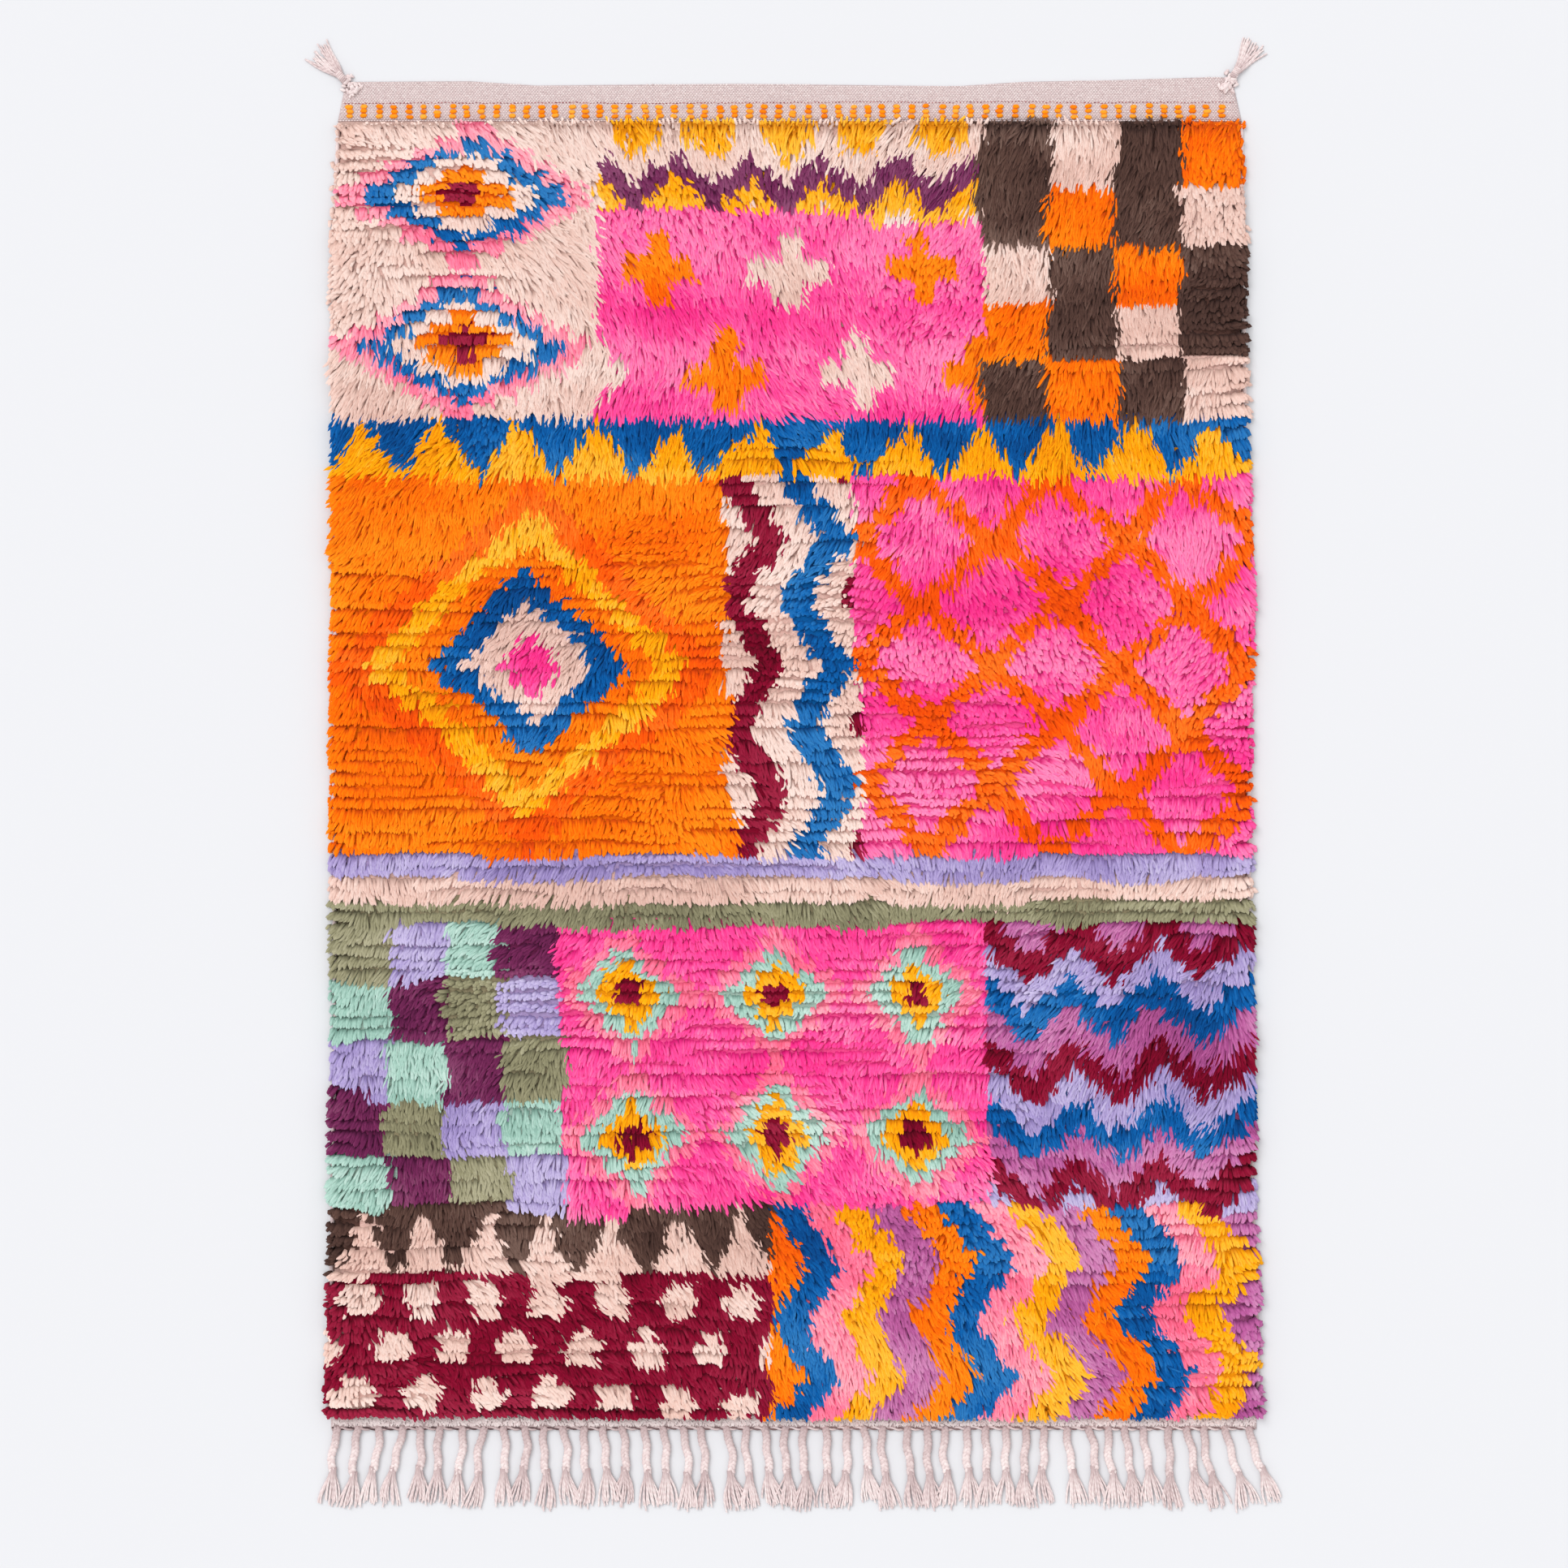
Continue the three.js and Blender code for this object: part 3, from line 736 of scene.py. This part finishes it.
yarn_tree = Grower("yarn_on_paths", {"Sides": "NodeSocketInt", "Wool": "NodeSocketMaterial"})
yarn_path = yarn_tree.add("GeometryNodeMeshToCurve", {}, {0: yarn_tree.given["Geometry"]})
yarn_path = yarn_tree.stored(yarn_path, "along", yarn_tree.add("GeometryNodeSplineParameter", {}, {}))
yarn_ring = yarn_tree.add(
    "GeometryNodeCurvePrimitiveCircle",
    {"mode": "RADIUS"},
    {"Resolution": yarn_tree.given["Sides"], "Radius": 1.0},
)
yarn_ring = yarn_tree.stored(yarn_ring, "around", yarn_tree.add("GeometryNodeSplineParameter", {}, {}))
yarn_tube = yarn_tree.add(
    "GeometryNodeCurveToMesh",
    {},
    {
        "Curve": yarn_path,
        "Profile Curve": yarn_ring,
        "Scale": yarn_tree.attribute("thick", "FLOAT"),
        "Fill Caps": True,
    },
)
yarn_tube = yarn_tree.add("GeometryNodeSetShadeSmooth", {}, {0: yarn_tube})
ring_share = yarn_tree.attribute("around", "FLOAT")
ring_fold = yarn_tree.math("ABSOLUTE", yarn_tree.math("MULTIPLY_ADD", ring_share, 2.0, -1.0))
tube_along = yarn_tree.math("MULTIPLY_ADD", yarn_tree.attribute("along", "FLOAT"), 0.92, 0.02)
tube_along = yarn_tree.math("MULTIPLY_ADD", ring_share, 0.05, tube_along)
yarn_tree.finish(yarn_tube, ring_fold, tube_along)


def strands(name, paths, sides, wool):
    """Lengths of yarn along paths, each path given by its points, its thickness and its tone."""
    points, thick, shade, edges = [], [], [], []
    for path_points, path_thick, path_shade in paths:
        first, count = len(points), len(path_points)
        points.extend(path_points)
        thick.extend(np.broadcast_to(path_thick, count))
        shade.extend([path_shade] * count)
        edges.extend((i, i + 1) for i in range(first, first + count - 1))
    yarn_seeds = seeds(f"{name}_paths", points, edges, thick=thick, shade=shade)
    return yarn_tree.grown(name, yarn_seeds, {"Sides": sides, "Wool": wool})


selvedge_y = np.arange(-FIELD_TOP + 2 * MM, FIELD_TOP - 1 * MM, SELVEDGE_WRAP / 2)
selvedge_left, selvedge_right = side_edges(selvedge_y)
selvedge_thick = SELVEDGE_RADIUS * (1 + 0.09 * np.cos(np.pi * np.arange(len(selvedge_y))))
selvedge_rise = np.full(len(selvedge_y), SELVEDGE_RADIUS * 1.1)
selvedges = strands(
    "selvedges",
    [
        (np.stack([x, selvedge_y, selvedge_rise], 1), selvedge_thick, 6)
        for x in (selvedge_left + SELVEDGE_INSET, selvedge_right - SELVEDGE_INSET)
    ],
    sides=6,
    wool=yarn_wool("selvedge_wool", **UNDYED, painted_root_shade=1.0, twists=170.0),
)
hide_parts("pile_field")

# End band: a strip of flat weave beyond the pile, of undyed weft packed over the warps, closed at its outer
# edge. A row of orange wefts floats over it in short ticks next to the pile, with a dotted thread beyond.
BAND_NEAR = 1048.3 * MM
BAND_TOP = 2.2 * MM
BAND_UNDERSIDE = 0.4 * MM
BAND_NEAR_SIDES = (-735 * MM, 730 * MM)
BAND_EDGE = np.array(
    [
        (-722, 1113),
        (-520, 1114),
        (-415, 1107),
        (-90, 1110),
        (270, 1106),
        (375, 1113),
        (535, 1116),
        (690, 1121),
        (714, 1119),
    ]
) * MM
BAND_FAR_SIDES = BAND_EDGE[[0, -1], 0]
BAND_COLUMNS, BAND_ROWS = 80, 7  # points of its sheet
WEFT_PITCH = 2.9 * MM
WARP_PITCH = 4.6 * MM
WEFT_ROWS, WARP_PAIRS = 26, 330
TICK_PITCH = 24 * MM
TICK_WEFTS = 3
TICK_START, TICK_STEP = 9, 7.6  # from the pile, in millimetres
DOT_PITCH = 5.6 * MM
DOT_LINE, DOT_WANDER = 31, 1.6  # from the pile, in millimetres
TICK_DYE = {"deep": (236, 104, 0), "body": (255, 146, 8), "faded": (255, 184, 70)}
DOT_DYE = {"deep": (112, 52, 66), "body": (164, 92, 100), "faded": (206, 150, 150)}

# A float of weft: its form, its size and height over the floor, its tone, and how far its turn, its size (all
# round, or on three sides apart) and its tone stray
Float = namedtuple("Float", "form size rise tone turns sizes sides tones")
BAND_WEFT = Float(0, (5.2 * MM, 3.3 * MM, 1.6 * MM), BAND_TOP, 6.5, 0.12, 0.08, 1, 1.8)
TICK = Float(1, (12.5 * MM, 7.6 * MM, 4.6 * MM), 3.4 * MM, 5.5, 0.1, 0.07, 3, 2.5)
DOT = Float(0, (4.0 * MM, 1.9 * MM, 1.9 * MM), 2.9 * MM, 5.5, 0.2, 0.12, 1, 2.5)
BEAD = Form(
    points=[(-0.5, 0, 0), (0, -0.5, 0), (0, 0, 0.5), (0, 0.5, 0), (0, 0, -0.5), (0.5, 0, 0)],
    faces=[(0, 1, 2), (0, 2, 3), (0, 3, 4), (0, 4, 1), (5, 2, 1), (5, 3, 2), (5, 4, 3), (5, 1, 4)],
    around=[0.5, 0.0, 0.5, 1.0, 0.5, 0.5],
    along=[0.4, 0.7, 0.75, 0.7, 0.65, 1.0],
)
GRAIN_SIDES = 6
grain_turn = 2 * np.pi * np.arange(GRAIN_SIDES) / GRAIN_SIDES
grain_ring = [*range(1, GRAIN_SIDES + 1), 1]
grain_edges = list(zip(grain_ring, grain_ring[1:]))
GRAIN = Form(
    points=[(-0.5, 0, 0)]
    + [(x, 0.48 * np.cos(turn), 0.48 * np.sin(turn)) for x in (-0.27, 0.27) for turn in grain_turn]
    + [(0.5, 0, 0)],
    faces=[(0, b, a) for a, b in grain_edges]
    + [(a, b, b + GRAIN_SIDES, a + GRAIN_SIDES) for a, b in grain_edges]
    + [(2 * GRAIN_SIDES + 1, a + GRAIN_SIDES, b + GRAIN_SIDES) for a, b in grain_edges],
    around=[0.5] + 2 * [0.5 - 0.5 * float(np.cos(turn)) for turn in grain_turn] + [0.5],
    along=[0.4] + [start + 0.02 * k for start in (0.55, 0.8) for k in range(GRAIN_SIDES)] + [1.0],
)

band_across = np.linspace(0, 1, BAND_COLUMNS)
band_out = np.linspace(0, 1, BAND_ROWS)[:, None]
band_far_x = between(*BAND_FAR_SIDES, band_across)
band_x = between(between(*BAND_NEAR_SIDES, band_across), band_far_x, band_out)
band_y = between(BAND_NEAR, np.interp(band_far_x, *BAND_EDGE.T), band_out)
band_mesh = sheet_mesh("end_band_cloth", band_x, band_y, BAND_TOP, BAND_UNDERSIDE)
band_wool, start, shader = wool_shader("band_cloth_wool", 0.06)
mottle, band_ribs = woven(start, grain=320.0, ribs=110.0, wander=1.0)
band_dye = mottle.ramp((0.25, UNDYED["deep"]), (0.75, UNDYED["body"]))
dress(shader, band_dye, 0.8 + 0.2 * mottle, band_ribs, depth=1.0 * MM, strength=0.5)
band_mesh.materials.append(band_wool)
end_band = new_piece("end_band_cloth", band_mesh)
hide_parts("end_band")

weft_row, weft_column = np.meshgrid(np.arange(WEFT_ROWS), np.arange(WARP_PAIRS), indexing="ij")
weft_x = BAND_NEAR_SIDES[0] + (weft_column.ravel() + 0.5 * (weft_row.ravel() % 2)) * WARP_PITCH
weft_y = BAND_NEAR + (weft_row.ravel() + 0.6) * WEFT_PITCH
weft_out = (weft_y - BAND_NEAR) / (np.interp(weft_x, *BAND_EDGE.T) - BAND_NEAR)
weft_start, weft_end = (between(*ends, weft_out) for ends in zip(BAND_NEAR_SIDES, BAND_FAR_SIDES))
inside_band = (weft_out < 0.99) & (weft_x > weft_start + 2 * MM) & (weft_x < weft_end - 2 * MM)
weft_x, weft_y = weft_x[inside_band], weft_y[inside_band]
weft_shapes = strand_shapes("weft_shapes", [(BEAD, 0.0), (GRAIN, 0.0)])


def weft_floats(name, kind, x, y, wool):
    """Short floats of weft that lie flat on the band."""
    count = len(x)
    level = np.zeros(count)
    return locks_at(
        name,
        weft_shapes,
        wool,
        np.stack([x, y, np.full(count, kind.rise)], 1),
        turn=np.stack([level, level, hand.normal(0, kind.turns, count)], 1),
        size=np.array(kind.size) * (1 + hand.normal(0, kind.sizes, (count, kind.sides))),
        shape=np.full(count, kind.form),
        shade=nearest_tone(kind.tone + hand.normal(0, kind.tones, count)),
    )


weft_y = weft_y + hand.normal(0, 0.15, len(weft_x)) * MM
weft_wool = yarn_wool("band_weft_wool", **UNDYED, painted_root_shade=0.9)
weft_bumps = weft_floats("end_band_wefts", BAND_WEFT, weft_x, weft_y, weft_wool)
tick_x = np.arange(BAND_NEAR_SIDES[0] + 18 * MM, BAND_NEAR_SIDES[1] - 14 * MM, TICK_PITCH)
tick_x = np.repeat(tick_x + hand.normal(0, 1.2, len(tick_x)) * MM, TICK_WEFTS)
tick_count = len(tick_x)
tick_step = np.tile(np.arange(TICK_WEFTS), tick_count // TICK_WEFTS)
tick_y = BAND_NEAR + (TICK_START + TICK_STEP * tick_step + hand.normal(0, 0.7, tick_count)) * MM
tick_x = tick_x + hand.normal(0, 0.8, tick_count) * MM
orange_ticks = weft_floats("orange_ticks", TICK, tick_x, tick_y, yarn_wool("tick_wool", **TICK_DYE))
dot_x = np.arange(BAND_NEAR_SIDES[0] + 12 * MM, BAND_NEAR_SIDES[1] - 12 * MM, DOT_PITCH)
dot_wave = DOT_WANDER * soft_noise(dot_x / (120 * MM), 0 * dot_x, 45)
dot_y = BAND_NEAR + (DOT_LINE + dot_wave + hand.normal(0, 0.35, len(dot_x))) * MM
dot_wool = yarn_wool("dotted_thread_wool", **DOT_DYE)
dotted_thread = weft_floats("dotted_thread", DOT, dot_x, dot_y, dot_wool)
for piece in (weft_bumps, orange_ticks, dotted_thread):
    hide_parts("end_band")

# Corner tassels: at each outer corner of the band the last warps are knotted together, wrapped round with one
# yarn to a short neck, and left loose beyond it, where they spread over the floor.
Corner = namedtuple("Corner", "name x y heading seed")
CORNERS = [
    Corner("corner_tassel_left", -722.5 * MM, 1113.5 * MM, 2.33, 51),
    Corner("corner_tassel_right", 714.5 * MM, 1119.5 * MM, 0.99, 52),
]
NECK_START, NECK_END = 1 * MM, 19 * MM
NECK_TURNS = 6
NECK_RISE = 5.6 * MM
NECK_HALF_WIDTH, NECK_HALF_HEIGHT = 5.2 * MM, 3.7 * MM
WRAP_RADIUS = 1.75 * MM
TASSEL_STRANDS = 18
TASSEL_LENGTH = 48 * MM
TASSEL_IN_NECK = 18 * MM
TASSEL_SPREAD = 0.42
TASSEL_YARN_RADIUS = 1.85 * MM
TASSEL_HALF_ROOT, TASSEL_SWAY, TASSEL_REST = 3.2 * MM, 1.6 * MM, 1.45 * MM
KNOT_LOOPS = 56
KNOT_LOOP_SIZE = np.array([10.0, 4.6, 4.4]) * MM
tassel_knot_wool = yarn_wool("tassel_knot_wool", **UNDYED, painted_root_shade=1.0)
tassel_wool = yarn_wool("tassel_yarn_wool", **UNDYED, painted_root_shade=1.0, twists=9.0)
for corner in CORNERS:
    fingers = np.random.default_rng(corner.seed)
    forward = np.array([np.cos(corner.heading), np.sin(corner.heading), 0])
    aside = np.array([-np.sin(corner.heading), np.cos(corner.heading), 0])
    up = np.array([0, 0, 1])
    base = np.array([corner.x, corner.y, 0])

    def spot(ahead, off, rise):
        return base + np.outer(ahead, forward) + np.outer(off, aside) + np.outer(rise, up)

    wound = np.linspace(0, 1, NECK_TURNS * 9)
    wind = 2 * np.pi * NECK_TURNS * wound
    slim = 1 - 0.12 * wound
    neck = spot(
        between(NECK_START, NECK_END, wound),
        NECK_HALF_WIDTH * slim * np.cos(wind),
        NECK_RISE + NECK_HALF_HEIGHT * slim * np.sin(wind),
    )
    paths = [(neck, WRAP_RADIUS, 6)]
    for i in range(TASSEL_STRANDS):
        share = 2 * (i + 0.5) / TASSEL_STRANDS - 1
        way = TASSEL_SPREAD * share + fingers.normal(0, 0.07)
        length = TASSEL_LENGTH * (1 + fingers.normal(0, 0.09))
        s = np.linspace(0, 1, 9)
        beyond = np.clip(s * (length + TASSEL_IN_NECK) - TASSEL_IN_NECK, 0, None)
        sway = TASSEL_SWAY * np.sin(7 * s + fingers.uniform(0, 6)) * eased(0.2, 0.6, s)
        rise = NECK_RISE + fingers.uniform(-2.4, 2.4) * MM
        path = spot(
            4 * MM + s * 16 * MM + beyond * np.cos(way),
            TASSEL_HALF_ROOT * share + beyond * np.sin(way) + sway,
            between(rise, TASSEL_REST + fingers.uniform(0, 1.2) * MM, eased(0.25, 0.75, s)),
        )
        thick = TASSEL_YARN_RADIUS * (1 - 0.35 * eased(0.8, 1.0, s))
        paths.append((path, thick, int(fingers.integers(3, 10))))
    tassel = strands(f"{corner.name}_yarn", paths, sides=5, wool=tassel_wool)
    knot_ahead = fingers.uniform(-25, 4, KNOT_LOOPS) * MM
    knot_off = np.clip(fingers.normal(0, 6.5, KNOT_LOOPS), -13, 13) * MM
    knot_crown = np.exp(-((knot_off / (8 * MM)) ** 2))
    knot_rise = (3.2 + 3.0 * knot_crown * fingers.uniform(0.6, 1.2, KNOT_LOOPS)) * MM
    knot = locks_at(
        f"{corner.name}_knot",
        weft_shapes,
        tassel_knot_wool,
        spot(knot_ahead, knot_off, knot_rise),
        turn=np.stack(
            [
                np.zeros(KNOT_LOOPS),
                fingers.normal(0, 0.2, KNOT_LOOPS),
                corner.heading + fingers.normal(0, 0.7, KNOT_LOOPS),
            ],
            1,
        ),
        size=KNOT_LOOP_SIZE * (1 + fingers.normal(0, 0.12, (KNOT_LOOPS, 1))),
        shape=np.ones(KNOT_LOOPS),
        shade=fingers.integers(3, 10, KNOT_LOOPS),
    )
    for piece in (tassel, knot):
        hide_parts(corner.name)

# Braided fringe: the warp ends of the other end. A narrow strip of weave is closed with a twined cord, and
# below it the warps are plaited in bundles of three and left loose as brushes at their ends.
STRIP_NEAR = -1048.3 * MM
STRIP_FAR = -1070.3 * MM
STRIP_SIDES = (-746 * MM, 754 * MM)
STRIP_TOP, STRIP_UNDERSIDE = 2.4 * MM, 0.4 * MM
FUZZ_COUNT = 3800
FUZZ_RISE = 2.6 * MM
FUZZ_SIZES = [(6, 10), (2.2, 3.2), (2.6, 3.8)]  # least and most, in millimetres
BRAIDS = 46
# Sizes of a braid and its way over the floor, in millimetres
BRAID_LENGTH = 76
BRAID_WANDER, BRAID_SWAY, FRINGE_END_FAN = 5, 16, 34
BRAID_BOW, BRAID_WOBBLE = 5, 2.0
TIP_SPACING = 28
BRUSH_LENGTH = 46
BRUSH_IN_BRAID = 13
BRAID_TURN = 19 * MM
BRAID_HALF_WIDTH = 3.4 * MM
BRAID_HALF_HEIGHT = 1.5 * MM
BRAID_RISE = 5.0 * MM
PLY_RADIUS = 3.6 * MM
PLAIT_STEPS = 36
BRUSH_STRANDS = 14
BRUSH_SPREAD = 12.5 * MM
BRUSH_RADIUS = 1.75 * MM
BRUSH_HALF_ROOT, BRUSH_LEAN, BRUSH_SWAY, BRUSH_REST = 4.6 * MM, 7 * MM, 1.4 * MM, 2.2 * MM
TWINE_TURN = 27 * MM
TWINE_HALF = 1.7 * MM
TWINE_RISE = 4.2 * MM
DARK_TWINE = {"deep": (92, 70, 72), "body": (140, 114, 114), "faded": (184, 160, 158)}


def uneven(i, k):
    """A fixed unevenness from -1 to 1 for each braid and each of its measures."""
    s = np.sin(i * 12.9898 + k * 78.233) * 43758.5453
    return 2 * (s - np.floor(s)) - 1


strip_x, strip_y = np.meshgrid(np.linspace(*STRIP_SIDES, 120), np.linspace(STRIP_FAR, STRIP_NEAR, 4))
strip_mesh = sheet_mesh("fringe_strip", strip_x, strip_y, STRIP_TOP, STRIP_UNDERSIDE)
strip_mesh.materials.append(band_wool)
fringe_strip = new_piece("fringe_strip", strip_mesh)

fuzz_x = hand.uniform(STRIP_SIDES[0] + 4 * MM, STRIP_SIDES[1] - 4 * MM, FUZZ_COUNT)
fuzz_y = hand.uniform(STRIP_FAR + 10 * MM, STRIP_NEAR + 3 * MM, FUZZ_COUNT)
strip_fuzz = locks_at(
    "fringe_strip_fuzz",
    lock_shapes,
    yarn_wool("strip_fuzz_wool", **UNDYED, painted_root_shade=1.0),
    np.stack([fuzz_x, fuzz_y, np.full(FUZZ_COUNT, FUZZ_RISE)], 1),
    turn=np.stack(
        [
            hand.uniform(-0.3, 0.3, FUZZ_COUNT),
            hand.uniform(-0.06, 0.06, FUZZ_COUNT),
            -np.pi / 2 + hand.normal(0, 0.22, FUZZ_COUNT),
        ],
        1,
    ),
    size=np.stack([hand.uniform(least, most, FUZZ_COUNT) for least, most in FUZZ_SIZES], 1) * MM,
    shape=hand.integers(len(LOCK_CURLS), 2 * len(LOCK_CURLS), FUZZ_COUNT),
    shade=hand.integers(SHADES // 2, SHADES, FUZZ_COUNT),
)

twine_x = np.arange(STRIP_SIDES[0] + 2 * MM, STRIP_SIDES[1] - 2 * MM, TWINE_TURN / 8)
twine_angle = 2 * np.pi * twine_x / TWINE_TURN
twine_y = STRIP_FAR + 1.2 * MM + 0.8 * MM * soft_noise(twine_x / (60 * MM), 0 * twine_x, 61)
twined_cords = []
for name, lead, thick, dye in (
    ("fringe_twined_cord", 0, 1.9 * MM, UNDYED),
    ("fringe_dark_twine", np.pi, 1.4 * MM, DARK_TWINE),
):
    twine_path = np.stack(
        [
            twine_x,
            twine_y + TWINE_HALF * np.cos(twine_angle + lead),
            TWINE_RISE + TWINE_HALF * np.sin(twine_angle + lead),
        ],
        1,
    )
    twined_wool = yarn_wool(f"{name}_wool", **dye, painted_root_shade=1.0, twists=150.0)
    twined_cords.append(strands(name, [(twine_path, thick, 5)], sides=5, wool=twined_wool))
fringe_yarn_wool = yarn_wool("fringe_yarn_wool", **UNDYED, painted_root_shade=1.0, twists=7.0)

plait_paths, brush_paths = [], []
previous_tip = -np.inf
loose = np.random.default_rng(71)
for i in range(BRAIDS):
    even_share = (i + 0.5) / BRAIDS
    x = between(*STRIP_SIDES, even_share) / MM + BRAID_WANDER * uneven(i, 5)
    lean = FRINGE_END_FAN * (2 * even_share - 1) ** 5 + BRAID_SWAY * uneven(i, 6)
    tip_x = max(x + lean, previous_tip + TIP_SPACING)
    previous_tip = tip_x
    length = BRAID_LENGTH * (1 + 0.07 * uneven(i, 8))
    heading = np.arctan2(-(length + BRUSH_LENGTH), tip_x - x)
    root = np.array([x * MM, STRIP_FAR + 3 * MM])
    end = np.array([x * MM - length * MM / np.tan(heading), STRIP_FAR - length * MM])
    aside = np.array([-np.sin(heading), np.cos(heading)])
    s = np.linspace(0, 1, PLAIT_STEPS)
    bow = BRAID_BOW * uneven(i, 7) * MM * 4 * s * (1 - s)
    bow = bow + BRAID_WOBBLE * MM * np.sin(9 * s + 6 * uneven(i, 9)) * s * (1 - s) * 4
    middle = root + np.outer(s, end - root) + np.outer(bow, aside)
    travelled = s * np.hypot(*(end - root))
    tone = 5.5 + 2.5 * uneven(i, 10)
    for ply in range(3):
        turn = 2 * np.pi * (travelled / BRAID_TURN + ply / 3) + 3 * uneven(i, 11)
        taper = 1 - 0.5 * eased(0.88, 1.0, s)
        off = BRAID_HALF_WIDTH * taper * np.sin(turn)
        rise = BRAID_RISE + BRAID_HALF_HEIGHT * np.sin(2 * turn)
        path = np.column_stack([middle + off[:, None] * aside, rise])
        shade = int(nearest_tone(tone + loose.normal(0, 1)))
        plait_paths.append((path, PLY_RADIUS * taper, shade))
    forward = np.array([np.cos(heading), np.sin(heading)])
    for k in range(BRUSH_STRANDS):
        share = 2 * (k + 0.5) / BRUSH_STRANDS - 1
        spread = BRUSH_SPREAD * (share + loose.normal(0, 0.2))
        brush_length = (BRUSH_LENGTH * (1 + loose.normal(0, 0.08)) + BRUSH_IN_BRAID) * MM
        s = np.linspace(0, 1, 8)
        ahead = s * brush_length - BRUSH_IN_BRAID * MM
        fallen = np.clip(ahead / (BRUSH_LENGTH * MM), 0, 1)
        swing = BRUSH_HALF_ROOT * share + spread * (1 - (1 - fallen) ** 1.8)
        swing += BRUSH_LEAN * uneven(i, 12) * fallen**2
        swing += BRUSH_SWAY * np.sin(5 * s + loose.uniform(0, 6)) * s
        start_rise = BRAID_RISE + (3.0 * (1 - share**2) + loose.uniform(-1.6, 0.8)) * MM
        rise = between(start_rise, BRUSH_REST + loose.uniform(0, 2.0) * MM, eased(0.25, 0.8, s))
        path = np.column_stack([end + np.outer(ahead, forward) + np.outer(swing, aside), rise])
        shade = int(nearest_tone(tone + loose.normal(0, 1.6)))
        brush_paths.append((path, BRUSH_RADIUS * (1 - 0.25 * eased(0.8, 1.0, s)), shade))
plaits = strands("fringe_plaits", plait_paths, sides=6, wool=fringe_yarn_wool)
brushes = strands("fringe_brushes", brush_paths, sides=5, wool=fringe_yarn_wool)
fringe_trim = [strip_fuzz, *twined_cords, plaits, brushes]
for piece in (fringe_strip, *fringe_trim):
    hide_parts("braided_fringe")

# Floor, light and camera: a plain pale painted floor, soft light all round with one wide lamp from the upper
# left, and a camera straight above the rug at the photograph's scale.
FLOOR_REACH = 30
floor_corners = [(FLOOR_REACH * x, FLOOR_REACH * y, 0) for x, y in ((-1, -1), (1, -1), (1, 1), (-1, 1))]
floor_mesh = bpy.data.meshes.new("floor")
floor_mesh.from_pydata(floor_corners, [], [(0, 1, 2, 3)])
floor_paint = bpy.data.materials.new("floor_paint")
floor_paint.use_nodes = True
paint = floor_paint.node_tree.nodes["Principled BSDF"].inputs
paint["Base Color"].default_value = (0.71, 0.715, 0.74, 1)
paint["Roughness"].default_value = 0.9
floor_mesh.materials.append(floor_paint)
floor = bpy.data.objects.new("floor", floor_mesh)
scene.collection.objects.link(floor)

world = bpy.data.worlds.new("studio")
world.use_nodes = True
sky = world.node_tree.nodes["Background"].inputs
sky["Color"].default_value = (1, 1, 1, 1)
sky["Strength"].default_value = 0.92
scene.world = world
lamp = bpy.data.lights.new("window_light", "SUN")
lamp.energy = 1.35
lamp.angle = 0.6
window = bpy.data.objects.new("window_light", lamp)
window.rotation_euler = (-0.45, -0.5, 0)
scene.collection.objects.link(window)
scene.view_settings.view_transform = "Standard"

FRAME_WIDTH = 2.5425  # metres of floor across the photograph's frame
FRAME_MIDDLE = (-0.0118, -0.025)
CAMERA_HEIGHT = 6.0
camera = bpy.data.objects.new("camera", bpy.data.cameras.new("camera"))
camera.location = (*FRAME_MIDDLE, CAMERA_HEIGHT)
camera.data.lens = camera.data.sensor_width * CAMERA_HEIGHT / FRAME_WIDTH
scene.collection.objects.link(camera)
scene.camera = camera
